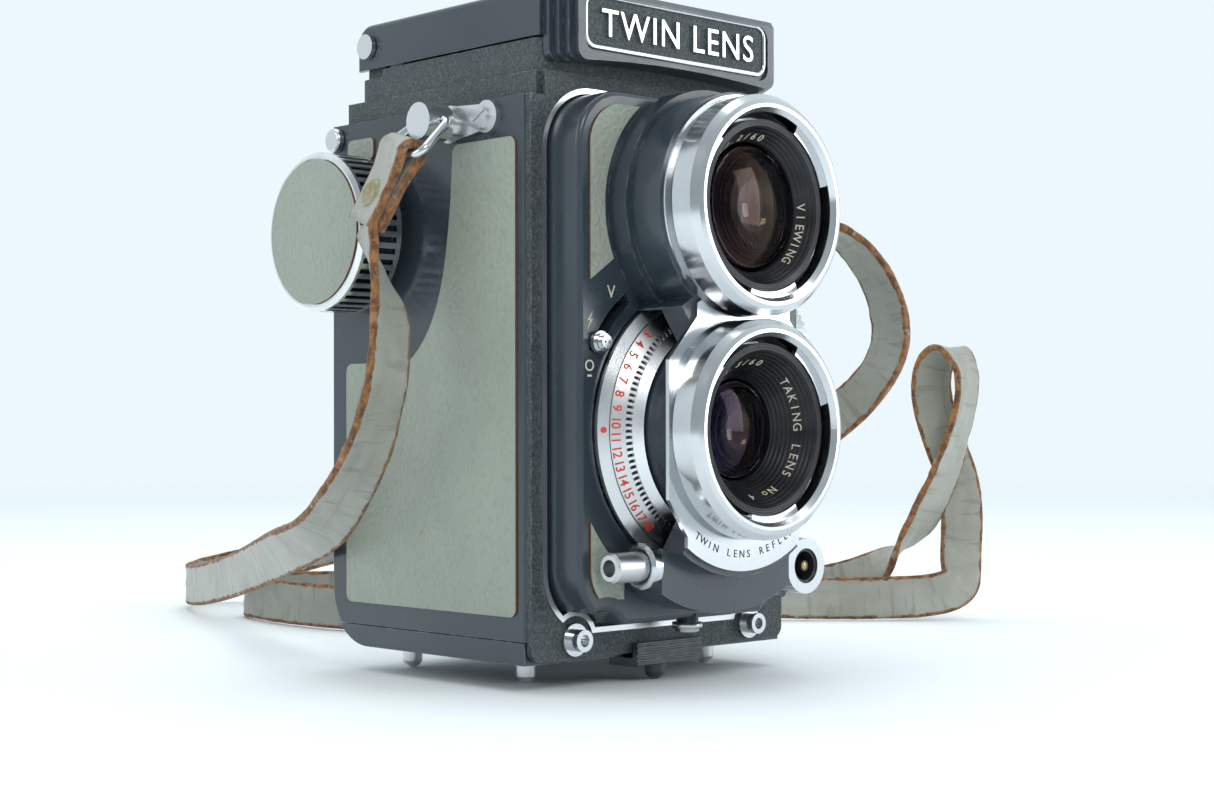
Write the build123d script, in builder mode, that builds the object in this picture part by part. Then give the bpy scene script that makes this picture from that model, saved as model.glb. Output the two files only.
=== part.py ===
"""Twin lens reflex camera: a compact grey 4 x 4 roll-film camera with its leather neck strap.

Millimetres, +Z up, the lenses look along -Y and +X is on the right as seen from the front.
The origin is on the plane that the feet rest on, below the middle of the body and its knobs.
"""

from build123d import *
import math
import os

# ---- driving dimensions: body
HALF_W = 32.8              # half width over the side covers
DEPTH = 57.7               # front cover to back door
LENS_REACH = 27.3          # lens mounts in front of the front cover
KNOB_OVERHANG = 4.4        # winding knob behind the back door
FRONT = -(DEPTH + KNOB_OVERHANG - LENS_REACH) / 2
BACK = FRONT + DEPTH
BASE = 5.0                 # underside of the back door's tray
SEAM = 9.1                 # joint between tray and side covers
COVER_TOP = 104.6          # top of the side covers
BODY_TOP = 109.0           # top of the casting's shoulder
CORNER = 11.0              # lower rear corner of the body
COVER_T = 1.6              # side cover thickness
FRONT_T = 1.2              # front cover thickness
WALL = 1.8                 # casting walls
DOOR_T = 1.5               # back door wall
GAP = 0.3                  # clearance between pieces that move past each other
RUN = 0.05                 # radial clearance of a running fit

# ---- driving dimensions: optics
TAKE_Z = 46.0              # taking lens axis height
LENS_PITCH = 39.3          # distance between the two lens axes
VIEW_Z = TAKE_Z + LENS_PITCH
RING_R = 19.4              # bayonet ring outer radius
OPENING_R = 16.1           # clear radius of the bayonet rings
FACE = FRONT - 8.0         # front face of the lens panel
BOSS = FRONT - 19.5        # front of the panel's moulded lens bosses
PLATE_T = 0.8              # lens faceplate
RING_BACK = BOSS - PLATE_T
RING_FRONT = FRONT - LENS_REACH
PANEL_HALF_W = 28.5
PANEL_BOTTOM, PANEL_TOP = 11.9, 105.4
DIAL_R = 25.2              # exposure dials
DIAL_BORE = 18.3
BARREL_R = 17.8            # painted barrel behind the taking lens
CHIN_R = 26.0              # boss that covers the ends of the dials
WINDOW_HALF = 55.0         # half angle of each dial window
DIAL_HALF = 70.0           # half angle of each dial sector
FILM_Y = FRONT + 50.0      # film plane
FRAME = 40.0               # picture size

# ---- driving dimensions: knobs, spools and hinges
WIND_Y, WIND_Z = BACK + KNOB_OVERHANG - 14.8, 82.9
WIND_R = 14.8
KNOB_FACE = 44.8           # outer face of both side knobs
SUPPLY_Y, SUPPLY_Z = 22.0, 15.8
TRIPOD_Y = 12.0            # tripod socket behind the lens axes
FOCUS_Y, FOCUS_Z = -2.0, 62.0
FOCUS_R = 13.5
SPOOL_R = 8.5
SPOOL_HALF = 23.0
SHAFT_R = 2.4
HINGE_Y, HINGE_Z = BACK - 1.8, 101.8
HINGE_R = 1.3
HOOD_HALF_W = 29.0
HOOD_FRONT, HOOD_BACK = FRONT + 1.3, FRONT + 54.0
SKIRT = 115.3              # lower edge of the hood lid
LID_TOP = 124.0
PIVOT_Y, PIVOT_Z = FRONT + 50.6, 119.6
STUD_X, STUD_Z = 22.6, 9.0
FLASH_X, FLASH_Z = 22.0, 20.6

# ---- driving dimensions: strap and its fittings
LUG_Y, LUG_Z = 3.0, 101.0
POST_REACH = 41.2
RING_PLANE_X = 38.0
WIRE_R = 0.8
STRAP_W, STRAP_T = 10.0, 1.8

os.makedirs("parts", exist_ok=True)


def save(name, part):
    """Label a finished piece and write its STEP file."""
    part.label = name
    export_step(part, "parts/" + name + ".step")


def side_plane(x):
    """Plane across the camera at x, drawn with local x towards the back and local y up."""
    return Plane(origin=(x, 0, 0), x_dir=(0, 1, 0), z_dir=(1, 0, 0))


def front_plane(y):
    """Plane at y seen from the front: local x to the right, local y up, normal to the front."""
    return Plane(origin=(0, y, 0), x_dir=(1, 0, 0), z_dir=(0, -1, 0))


def polar(radius, degrees, height=TAKE_Z):
    """Point at an angle about a lens axis, in a front plane."""
    angle = math.radians(degrees)
    return (radius * math.cos(angle), height + radius * math.sin(angle))


def sector(radius, start, end, height=TAKE_Z):
    """Corner points of a wide wedge between two angles of under 180 degrees."""
    middle = (start + end) / 2
    return [(0, height), polar(radius, start, height), polar(radius * 1.8, middle, height),
            polar(radius, end, height)]


# ------------------------------------------------------------------ body shell
def body_silhouette(inset):
    """Side outline of the body, drawn in a side plane, inset all round."""
    low, back = BASE + inset, BACK - inset
    radius = CORNER - inset
    with BuildLine() as line:
        Polyline((FRONT + FRONT_T, BODY_TOP), (FRONT + FRONT_T, low), (back - radius, low))
        RadiusArc((back - radius, low), (back, low + radius), -radius)
        Polyline((back, low + radius), (back, BODY_TOP), (FRONT + FRONT_T, BODY_TOP))
    return line.line


def body_casting():
    inner = HALF_W - COVER_T
    inset = DOOR_T + GAP
    mirror_gap = 1.4
    with BuildPart() as casting:
        with BuildSketch(side_plane(-inner)):
            add(body_silhouette(inset))
            make_face()
        extrude(amount=2 * inner)
        with BuildSketch(side_plane(-inner + WALL)):
            with Locations((0, BODY_TOP / 2)):
                Rectangle(4 * DEPTH, 2 * BODY_TOP)
            with BuildLine():
                Polyline((FRONT + FRONT_T, BODY_TOP), (FRONT + FRONT_T, 0), (FRONT + FRONT_T + WALL, 0),
                         (FRONT + FRONT_T + WALL, BODY_TOP - 2.6), (HINGE_Y - 4.8, BODY_TOP - 2.6),
                         (HINGE_Y - 4.8, HINGE_Z - 6), (HINGE_Y - 3, HINGE_Z - 6),
                         (HINGE_Y - 3, BODY_TOP), close=True)
            make_face(mode=Mode.SUBTRACT)
        extrude(amount=2 * (inner - WALL), mode=Mode.SUBTRACT)
        # inclined partition that carries the mirror
        with BuildSketch(side_plane(-inner)):
            with BuildLine():
                Polyline((-14.0, 66.0 - mirror_gap), (22.6, 102.6 - mirror_gap), (22.6, 100.4 - mirror_gap),
                         (-14.0, 63.8 - mirror_gap), close=True)
            make_face()
        extrude(amount=2 * inner)
        with BuildSketch(front_plane(FRONT + FRONT_T)):
            with Locations((0, VIEW_Z)):
                Circle(14.6)
            with Locations((0, TAKE_Z)):
                Circle(15.6)
        extrude(amount=-2 * WALL, mode=Mode.SUBTRACT)
        # opening above the mirror with the seat of the focusing screen
        with BuildSketch(Plane.XY.offset(BODY_TOP)):
            with Locations((0, 3.5)):
                Rectangle(38, 34)
        extrude(amount=-4, mode=Mode.SUBTRACT)
        with BuildSketch(Plane.XY.offset(BODY_TOP)):
            with Locations((0, 3.5)):
                Rectangle(42.2, 37.0)
        extrude(amount=-1.5, mode=Mode.SUBTRACT)
        # clearance for the door hinge
        with BuildSketch(side_plane(-inner)):
            with Locations((HINGE_Y, HINGE_Z)):
                Circle(3.0)
            with BuildLine():
                Polyline((HINGE_Y - 2.7, HINGE_Z - 3), (HINGE_Y + 6, HINGE_Z - 3),
                         (HINGE_Y + 6, COVER_TOP + GAP), (HINGE_Y - 2.7, COVER_TOP + GAP), close=True)
            make_face()
        extrude(amount=2 * inner, mode=Mode.SUBTRACT)
        # narrower shoulder above the side covers
        for side in (-1, 1):
            with BuildSketch(Plane.XY.offset(COVER_TOP)):
                with Locations((side * (inner + 0.4), 0)):
                    Rectangle(2 * WALL - 0.8, 3 * DEPTH)
            extrude(amount=10, mode=Mode.SUBTRACT)
        # bores for the knob shafts
        for side, y, z in ((-1, WIND_Y, WIND_Z), (1, WIND_Y, WIND_Z), (1, SUPPLY_Y, SUPPLY_Z)):
            with BuildSketch(side_plane(side * (inner - 2 * WALL))):
                with Locations((y, z)):
                    Circle(SHAFT_R + RUN)
            extrude(amount=side * 4 * WALL, mode=Mode.SUBTRACT)
        with BuildSketch(side_plane(-inner - 1)):
            with Locations((FOCUS_Y, FOCUS_Z)):
                Circle(SHAFT_R + RUN)
        extrude(amount=2 * inner + 2, mode=Mode.SUBTRACT)
        # journal of the supply spool on the winding side
        with BuildSketch(side_plane(-inner + WALL)):
            with Locations((SUPPLY_Y, SUPPLY_Z)):
                Circle(SHAFT_R - 0.4)
        extrude(amount=inner - WALL - SPOOL_HALF + 1.5)
    return casting.part


def front_opening(inset):
    """Outline of the lens panel's opening, as a face in the front plane."""
    low, high = PANEL_BOTTOM - 2.0 + inset, PANEL_TOP + 1.3 - inset
    half = PANEL_HALF_W + 1.6 - inset
    with BuildSketch(front_plane(FRONT)) as opening:
        with Locations((0, (low + high) / 2)):
            RectangleRounded(2 * half, high - low, 11.5 - inset)
        for side in (-1, 1):
            with Locations((side * STUD_X, STUD_Z)):
                Circle(4.2 + inset, mode=Mode.SUBTRACT)
    return opening.sketch


def front_cover():
    with BuildPart() as cover:
        with BuildSketch(front_plane(FRONT)):
            with Locations((0, (BASE + 0.6 + BODY_TOP) / 2)):
                RectangleRounded(2 * (HALF_W - 0.4), BODY_TOP - BASE - 0.6, 2.2)
            add(front_opening(0.0), mode=Mode.SUBTRACT)
        extrude(amount=-FRONT_T)
        # upper corners drawn in to the shoulder
        for side in (-1, 1):
            with BuildSketch(front_plane(FRONT + 1)):
                with Locations((side * (HALF_W + 1.0), BODY_TOP)):
                    Rectangle(9.6, 2 * (BODY_TOP - COVER_TOP))
            extrude(amount=4, both=True, mode=Mode.SUBTRACT)
    return cover.part


def front_trim():
    with BuildPart() as trim:
        with BuildSketch(front_plane(FRONT + 0.6)):
            add(front_opening(0.05))
            add(front_opening(1.0), mode=Mode.SUBTRACT)
        extrude(amount=1.0)
    return trim.part


def side_cover(side):
    """Painted side cover with the outline of the body above the tray seam."""
    inner = HALF_W - COVER_T
    with BuildPart() as cover:
        with BuildSketch(side_plane(side * inner)):
            add(body_silhouette(0.0))
            make_face()
            with Locations((0, BODY_TOP + 50)):
                Rectangle(4 * DEPTH, 2 * (BODY_TOP + 50 - COVER_TOP), mode=Mode.SUBTRACT)
            with Locations((0, SEAM - 50)):
                Rectangle(4 * DEPTH, 100, mode=Mode.SUBTRACT)
            with Locations((HINGE_Y, HINGE_Z)):
                Circle(HINGE_R + RUN, mode=Mode.SUBTRACT)
        extrude(amount=side * COVER_T)
        outer = cover.faces().sort_by(Axis.X)[-1 if side > 0 else 0]
        fillet(outer.outer_wire().edges().filter_by(Axis.Z), 0.6)
        holes = [(WIND_Y, WIND_Z, SHAFT_R + RUN)]
        if side > 0:
            holes += [(SUPPLY_Y, SUPPLY_Z, SHAFT_R + RUN), (FOCUS_Y, FOCUS_Z, SHAFT_R + RUN)]
        for y, z, radius in holes:
            with BuildSketch(side_plane(side * (inner - 1))):
                with Locations((y, z)):
                    Circle(radius)
            extrude(amount=side * 4, mode=Mode.SUBTRACT)
    return cover.part


def side_leathers():
    """Leather let into both side covers, round the smooth knob and lug area."""
    front, back, low, high = FRONT + 3.4, BACK - 5.0, 13.3, 97.4
    neck = FRONT + 20.5
    thick = 0.35
    with BuildPart() as leathers:
        for side in (-1, 1):
            with BuildSketch(side_plane(side * HALF_W)):
                with BuildLine():
                    Polyline((front, low), (front, high), (neck, high), (neck + 0.6, 88.0))
                    Spline((neck + 0.6, 88.0), (neck + 2.4, 76.0), (neck + 6.0, 66.0), (neck + 13.0, 58.6))
                    Polyline((neck + 13.0, 58.6), (back, 58.6), (back, low), (front, low))
                make_face()
                fillet(vertices().filter_by(lambda v: v.Y < 60 or v.Y > 90), 1.6)
                with Locations((BACK - 9.5, 99.3)):
                    RectangleRounded(8.0, 4.0, 1.0)
            extrude(amount=side * thick)
        with BuildSketch(side_plane(HALF_W - 1)):
            with Locations((FOCUS_Y, FOCUS_Z)):
                Circle(FOCUS_R + 0.8)
            with Locations((SUPPLY_Y, SUPPLY_Z)):
                Circle(8.2)
        extrude(amount=3, mode=Mode.SUBTRACT)
    return leathers.part


# ------------------------------------------------------------------ back door
def back_door():
    inner = HALF_W - COVER_T
    low = FRONT + FRONT_T + 0.2
    knuckle = 2.4
    with BuildPart() as door:
        with BuildSketch(side_plane(-inner + 0.2)):
            with BuildLine():
                Polyline((low, BASE + DOOR_T), (low, BASE), (BACK - CORNER, BASE))
                RadiusArc((BACK - CORNER, BASE), (BACK, BASE + CORNER), -CORNER)
                Polyline((BACK, BASE + CORNER), (BACK, HINGE_Z), (BACK - DOOR_T, HINGE_Z),
                         (BACK - DOOR_T, BASE + CORNER))
                RadiusArc((BACK - DOOR_T, BASE + CORNER), (BACK - CORNER, BASE + DOOR_T), CORNER - DOOR_T)
                Line((BACK - CORNER, BASE + DOOR_T), (low, BASE + DOOR_T))
            make_face()
            with Locations((HINGE_Y, HINGE_Z)):
                Circle(knuckle)
        extrude(amount=2 * inner - 0.4)
        # side lips of the tray, below the side covers, and its floor out to them
        for side in (-1, 1):
            for start, top in ((inner + GAP, SEAM - 0.15), (inner - 0.5, BASE + DOOR_T)):
                with BuildSketch(side_plane(side * start)):
                    add(body_silhouette(0.0))
                    make_face()
                    with Locations((0, top + 100)):
                        Rectangle(4 * DEPTH, 200, mode=Mode.SUBTRACT)
                    with Locations((low - 50, 0)):
                        Rectangle(100, 50, mode=Mode.SUBTRACT)
                extrude(amount=side * (HALF_W - start))
        with BuildSketch(side_plane(-inner - 3)):
            with Locations((HINGE_Y, HINGE_Z)):
                Circle(HINGE_R + RUN)
        extrude(amount=2 * inner + 6, mode=Mode.SUBTRACT)
        # seat of the tripod socket and slot for the latch
        with BuildSketch(Plane.XY.offset(BASE - 1)):
            with Locations((0, TRIPOD_Y)):
                Circle(8.0)
            with Locations((0, low)):
                Rectangle(18.4, 11.0)
        extrude(amount=DOOR_T + 3, mode=Mode.SUBTRACT)
    return door.part


def back_leather():
    with BuildPart() as leather:
        with BuildSketch(Plane(origin=(0, BACK, 0), x_dir=(-1, 0, 0), z_dir=(0, 1, 0))):
            with Locations((0, 56.5)):
                RectangleRounded(57.0, 75.0, 2.0)
        extrude(amount=0.35)
    return leather.part


def tripod_socket():
    """Disc on the underside with a 1/4 inch tripod thread, drawn at the thread's root radius."""
    with BuildPart() as socket:
        with BuildSketch(Plane.XY.offset(BASE + DOOR_T - 0.2)):
            with Locations((0, TRIPOD_Y)):
                Circle(9.6)
        extrude(amount=0.2 + 0.6)
        with BuildSketch(Plane.XY.offset(BASE - 0.8)):
            with Locations((0, TRIPOD_Y)):
                Circle(7.95)
        extrude(amount=0.8 + DOOR_T)
        # wide thin disc below the tray
        with BuildSketch(Plane.XY.offset(BASE - 0.8)):
            with Locations((0, TRIPOD_Y)):
                Circle(16.5)
        extrude(amount=0.5)
        with BuildSketch(Plane.XY.offset(BASE + DOOR_T)):
            with Locations((0, TRIPOD_Y)):
                Circle(5.0)
        extrude(amount=3.9)
        with BuildSketch(Plane.XY.offset(BASE - 2)):
            with Locations((0, TRIPOD_Y)):
                Circle(3.0)
        extrude(amount=20, mode=Mode.SUBTRACT)
    with BuildPart() as clear:
        with BuildSketch(Plane.XY.offset(BASE + DOOR_T - 0.3)):
            with Locations((0, TRIPOD_Y)):
                Circle(9.8)
                Circle(7.98, mode=Mode.SUBTRACT)
        extrude(amount=0.3)
    return socket.part - clear.part


def cap_middle(radius, sag):
    """Depth of a spherical cap below its apex, halfway out to its rim."""
    sphere = (radius ** 2 + sag ** 2) / (2 * sag)
    return sphere - math.sqrt(sphere ** 2 - radius ** 2 / 4)


def turned_post(x, y, top, bottom, radius):
    """Round foot with a domed end, as a profile turned about its own axis."""
    sag = radius * 0.7
    with BuildPart() as post:
        with BuildSketch(Plane(origin=(x, y, 0), x_dir=(1, 0, 0), z_dir=(0, -1, 0))):
            with BuildLine():
                Polyline((0, bottom), (0, top), (radius, top), (radius, bottom + sag))
                ThreePointArc((radius, bottom + sag), (radius / 2, bottom + cap_middle(radius, sag)),
                              (0, bottom))
            make_face()
        revolve(axis=Axis((x, y, 0), (0, 0, 1)))
    return post.part


def base_feet():
    spots = [(-21.5, -3.5), (25.0, -3.5), (-20.5, 31.0), (23.0, 31.0)]
    with BuildPart() as feet:
        for x, y in spots:
            add(turned_post(x, y, BASE, 0.0, 1.9))
    return feet.part


def pressure_plate():
    with BuildPart() as plate:
        with BuildSketch(Plane(origin=(0, FILM_Y + 0.4, 0), x_dir=(-1, 0, 0), z_dir=(0, 1, 0))):
            with Locations((0, TAKE_Z)):
                RectangleRounded(46, 46, 2)
        extrude(amount=1.2)
        with BuildSketch(Plane(origin=(0, FILM_Y + 1.6, 0), x_dir=(-1, 0, 0), z_dir=(0, 1, 0))):
            with GridLocations(26, 0.001, 2, 1):
                with Locations((0, TAKE_Z)):
                    Circle(1.4)
        extrude(amount=2.2)
    return plate.part


def pressure_springs():
    """Two flat bow springs on the inside of the door, behind the pressure plate."""
    door_inner = BACK - DOOR_T
    with BuildPart() as springs:
        for level in (-1, 1):
            with BuildSketch(Plane(origin=(0, 0, TAKE_Z + level * 12 - 3))):
                with BuildLine():
                    Polyline((-14, door_inner), (-8, door_inner - 0.9), (8, door_inner - 0.9),
                             (14, door_inner), (9, door_inner), (7, door_inner - 0.4),
                             (-7, door_inner - 0.4), (-9, door_inner), close=True)
                make_face()
            extrude(amount=6)
    return springs.part


def door_latch():
    """Ribbed front latch of the back door with its own middle foot."""
    front = FRONT - 1.6
    with BuildPart() as latch:
        with BuildSketch(side_plane(-8.3)):
            with BuildLine():
                Polyline((front, 7.4), (front, 3.4), (front + 1.2, 3.0), (FRONT + 6.0, 3.0),
                         (FRONT + 6.0, 4.6), (FRONT - 0.3, 4.6), (FRONT - 0.3, 7.4), close=True)
            make_face()
        extrude(amount=16.6)
        for step in range(4):
            with BuildSketch(side_plane(-8.3)):
                with Locations((front, 4.2 + step * 0.9)):
                    Circle(0.22)
            extrude(amount=16.6, mode=Mode.SUBTRACT)
        add(turned_post(0, FRONT + 2.4, 3.0, 0.0, 1.9))
        # hinge barrel, let into the slot of the tray
        with BuildSketch(side_plane(-8.3)):
            with Locations((FRONT + 4.6, 5.6)):
                Circle(1.2)
            with Locations((FRONT + 4.6, 4.8)):
                Rectangle(1.6, 1.6)
        extrude(amount=16.6)
    return latch.part


def door_hinge_pin():
    reach = HALF_W + 0.2
    with BuildPart() as pin:
        with BuildSketch(side_plane(-reach)):
            with Locations((HINGE_Y, HINGE_Z)):
                Circle(HINGE_R)
        extrude(amount=2 * reach)
        for side in (-1, 1):
            with BuildSketch(side_plane(side * reach)):
                with Locations((HINGE_Y, HINGE_Z)):
                    Circle(2.3)
            extrude(amount=side * 1.4)
        fillet(pin.edges().group_by(Axis.X)[0] + pin.edges().group_by(Axis.X)[-1], 0.6)
    return pin.part


# ------------------------------------------------------------------ film transport
def film_gate():
    with BuildPart() as gate:
        with BuildSketch(front_plane(FILM_Y)):
            with Locations((0, TAKE_Z)):
                Rectangle(2 * (HALF_W - COVER_T - WALL) - 0.1, 47)
                Rectangle(FRAME, FRAME, mode=Mode.SUBTRACT)
        extrude(amount=1.5)
        with BuildSketch(front_plane(FILM_Y + 0.3)):
            for side in (-1, 1):
                with Locations((side * 24.5, TAKE_Z)):
                    Rectangle(1.4, 46)
        extrude(amount=0.4)
    return gate.part


def film_rollers():
    """Two rollers with thin journals; their backs touch the film plane."""
    radius, journal = 1.6, 0.8
    inner_half = HALF_W - COVER_T - WALL
    with BuildPart() as rollers:
        for level in (-1, 1):
            middle = (FILM_Y - radius, TAKE_Z + level * 25.2)
            for half, size in ((SPOOL_HALF, radius), (inner_half, journal)):
                with BuildSketch(side_plane(-half)):
                    with Locations(middle):
                        Circle(size)
                extrude(amount=2 * half)
    return rollers.part


def spool(y, z, bore_left, bore_right):
    with BuildPart() as body:
        with BuildSketch(side_plane(-SPOOL_HALF)):
            with Locations((y, z)):
                Circle(SPOOL_R)
        extrude(amount=1.0)
        with BuildSketch(side_plane(SPOOL_HALF)):
            with Locations((y, z)):
                Circle(SPOOL_R)
        extrude(amount=-1.0)
        with BuildSketch(side_plane(-SPOOL_HALF + 0.5)):
            with Locations((y, z)):
                Circle(4.2)
        extrude(amount=2 * SPOOL_HALF - 1.0)
        for side, radius in ((-1, bore_left), (1, bore_right)):
            with BuildSketch(side_plane(side * (SPOOL_HALF + 1))):
                with Locations((y, z)):
                    Circle(radius)
            extrude(amount=-side * 8, mode=Mode.SUBTRACT)
    return body.part


def winding_knob():
    """Slotted chrome knob with its shaft, which keys into the take-up spool."""
    slots = 44
    neck_end = HALF_W + 2.6
    with BuildPart() as knob:
        with BuildSketch(side_plane(-neck_end)):
            with Locations((WIND_Y, WIND_Z)):
                Circle(WIND_R)
        extrude(amount=-(KNOB_FACE - neck_end - 0.3))
        chamfer(knob.edges().group_by(Axis.X)[0], 0.7)
        with BuildSketch(side_plane(-neck_end - 1.0)):
            with Locations((WIND_Y, WIND_Z)):
                with PolarLocations(WIND_R, slots):
                    Rectangle(1.6, 1.05)
        extrude(amount=-(KNOB_FACE - neck_end - 2.6), mode=Mode.SUBTRACT)
        with BuildSketch(side_plane(-KNOB_FACE)):
            with Locations((WIND_Y, WIND_Z)):
                Circle(WIND_R - 1.1)
        extrude(amount=0.7, mode=Mode.SUBTRACT)
        with BuildSketch(side_plane(-HALF_W - GAP)):
            with Locations((WIND_Y, WIND_Z)):
                Circle(9.5)
        extrude(amount=-(neck_end - HALF_W - GAP))
        with BuildSketch(side_plane(-neck_end)):
            with Locations((WIND_Y, WIND_Z)):
                Circle(SHAFT_R)
        extrude(amount=neck_end - SPOOL_HALF + 4)
    return knob.part


def winding_knob_leather():
    with BuildPart() as disc:
        with BuildSketch(side_plane(-KNOB_FACE + 0.65)):
            with Locations((WIND_Y, WIND_Z)):
                Circle(WIND_R - 1.3)
        extrude(amount=-0.6)
    return disc.part


def spool_knob(y, z):
    """Pull-out spool knob with a milled edge and a pin that holds the spool's end."""
    with BuildPart() as knob:
        with BuildSketch(side_plane(HALF_W + GAP)):
            with Locations((y, z)):
                Circle(7.4)
        extrude(amount=2.4)
        with BuildSketch(side_plane(HALF_W + GAP + 2.4)):
            with Locations((y, z)):
                Circle(6.2)
        extrude(amount=3.4)
        with BuildSketch(side_plane(HALF_W + GAP + 3.2)):
            with Locations((y, z)):
                with PolarLocations(6.2, 30):
                    Rectangle(0.7, 0.55)
        extrude(amount=3.4, mode=Mode.SUBTRACT)
        with BuildSketch(side_plane(HALF_W + GAP)):
            with Locations((y, z)):
                Circle(SHAFT_R)
        extrude(amount=-(HALF_W + GAP - SPOOL_HALF + 3))
    return knob.part


# ------------------------------------------------------------------ focusing
def focus_knob():
    with BuildPart() as knob:
        with BuildSketch(side_plane(HALF_W + GAP)):
            with Locations((FOCUS_Y, FOCUS_Z)):
                Circle(FOCUS_R)
        extrude(amount=2.6)
        with BuildSketch(side_plane(HALF_W + GAP + 2.6)):
            with Locations((FOCUS_Y, FOCUS_Z)):
                Circle(FOCUS_R - 1.6)
        extrude(amount=KNOB_FACE - HALF_W - GAP - 2.6)
        with BuildSketch(side_plane(HALF_W + GAP + 3.6)):
            with Locations((FOCUS_Y, FOCUS_Z)):
                with PolarLocations(FOCUS_R - 1.6, 48):
                    Rectangle(0.9, 0.75)
        extrude(amount=KNOB_FACE, mode=Mode.SUBTRACT)
        with BuildSketch(side_plane(KNOB_FACE)):
            with Locations((FOCUS_Y, FOCUS_Z)):
                Circle(FOCUS_R - 4.2)
        extrude(amount=-0.9, mode=Mode.SUBTRACT)
        with BuildSketch(side_plane(HALF_W + GAP)):
            with Locations((FOCUS_Y, FOCUS_Z)):
                Circle(SHAFT_R)
        extrude(amount=-(2 * HALF_W - COVER_T + GAP - 0.4))
    return knob.part


def focus_cams():
    """Two round cams on the focusing shaft; they push the lens panel's guide blocks."""
    with BuildPart() as cams:
        for side in (-1, 1):
            with BuildSketch(side_plane(side * 26.0 - 1.5)):
                with Locations((FOCUS_Y, FOCUS_Z)):
                    Circle(6.0)
                    Circle(SHAFT_R, mode=Mode.SUBTRACT)
            extrude(amount=3.0)
    return cams.part


# ------------------------------------------------------------------ viewing system
def mirror():
    """Front-silvered reflex mirror lying on the inclined partition at 45 degrees."""
    centre_y, centre_z = 3.6, 83.6
    plane = Plane(origin=(0, centre_y, centre_z - 1.4), x_dir=(1, 0, 0), z_dir=(0, -1, 1))
    with BuildPart() as glass:
        with BuildSketch(plane):
            RectangleRounded(44, 46, 1.0)
        extrude(amount=1.2)
    return glass.part


def focusing_screen():
    with BuildPart() as screen:
        with BuildSketch(Plane.XY.offset(BODY_TOP - 1.5)):
            with Locations((0, 3.5)):
                Rectangle(42, 36.8)
        extrude(amount=1.4)
    return screen.part


def hood_frame():
    """Fixed rectangular frame that the hood's lid closes on."""
    width, depth = 2 * HOOD_HALF_W, HOOD_BACK - HOOD_FRONT
    middle = (HOOD_BACK + HOOD_FRONT) / 2
    with BuildPart() as frame:
        with BuildSketch(Plane.XY.offset(BODY_TOP)):
            with Locations((0, middle)):
                RectangleRounded(width, depth, 2.4)
        extrude(amount=SKIRT - GAP - BODY_TOP)
        with BuildSketch(Plane.XY.offset(BODY_TOP + 1.2)):
            with Locations((0, middle)):
                RectangleRounded(width - 3.6, depth - 3.6, 1.4)
        extrude(amount=10, mode=Mode.SUBTRACT)
        with BuildSketch(Plane.XY.offset(BODY_TOP)):
            with Locations((0, 3.5)):
                Rectangle(38, 34)
        extrude(amount=4, mode=Mode.SUBTRACT)
        # low rear end, below the turning corner of the lid
        with BuildSketch(Plane.XY.offset(PIVOT_Z - 6.1)):
            with Locations((0, PIVOT_Y + 6)):
                Rectangle(width + 2, 20)
        extrude(amount=10, mode=Mode.SUBTRACT)
        # ears for the lid pivots
        for side in (-1, 1):
            with BuildSketch(side_plane(side * (HOOD_HALF_W - 2.6))):
                with BuildLine():
                    Polyline((PIVOT_Y - 3, BODY_TOP + 2), (PIVOT_Y + 2.2, BODY_TOP + 2),
                             (PIVOT_Y + 2.2, PIVOT_Z), (PIVOT_Y - 3, PIVOT_Z), close=True)
                make_face()
                with Locations((PIVOT_Y - 0.4, PIVOT_Z)):
                    Circle(2.6)
                with Locations((PIVOT_Y, PIVOT_Z)):
                    Circle(1.25, mode=Mode.SUBTRACT)
            extrude(amount=side * 1.2)
    return frame.part


def hood_pivots():
    with BuildPart() as pivots:
        for side in (-1, 1):
            with BuildSketch(side_plane(side * (HOOD_HALF_W - 2.6))):
                with Locations((PIVOT_Y, PIVOT_Z)):
                    Circle(1.2)
            extrude(amount=side * 3.2)
            with BuildSketch(side_plane(side * (HOOD_HALF_W + 0.5))):
                with Locations((PIVOT_Y, PIVOT_Z)):
                    Circle(2.4)
            extrude(amount=side * 0.9)
    return pivots.part


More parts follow.
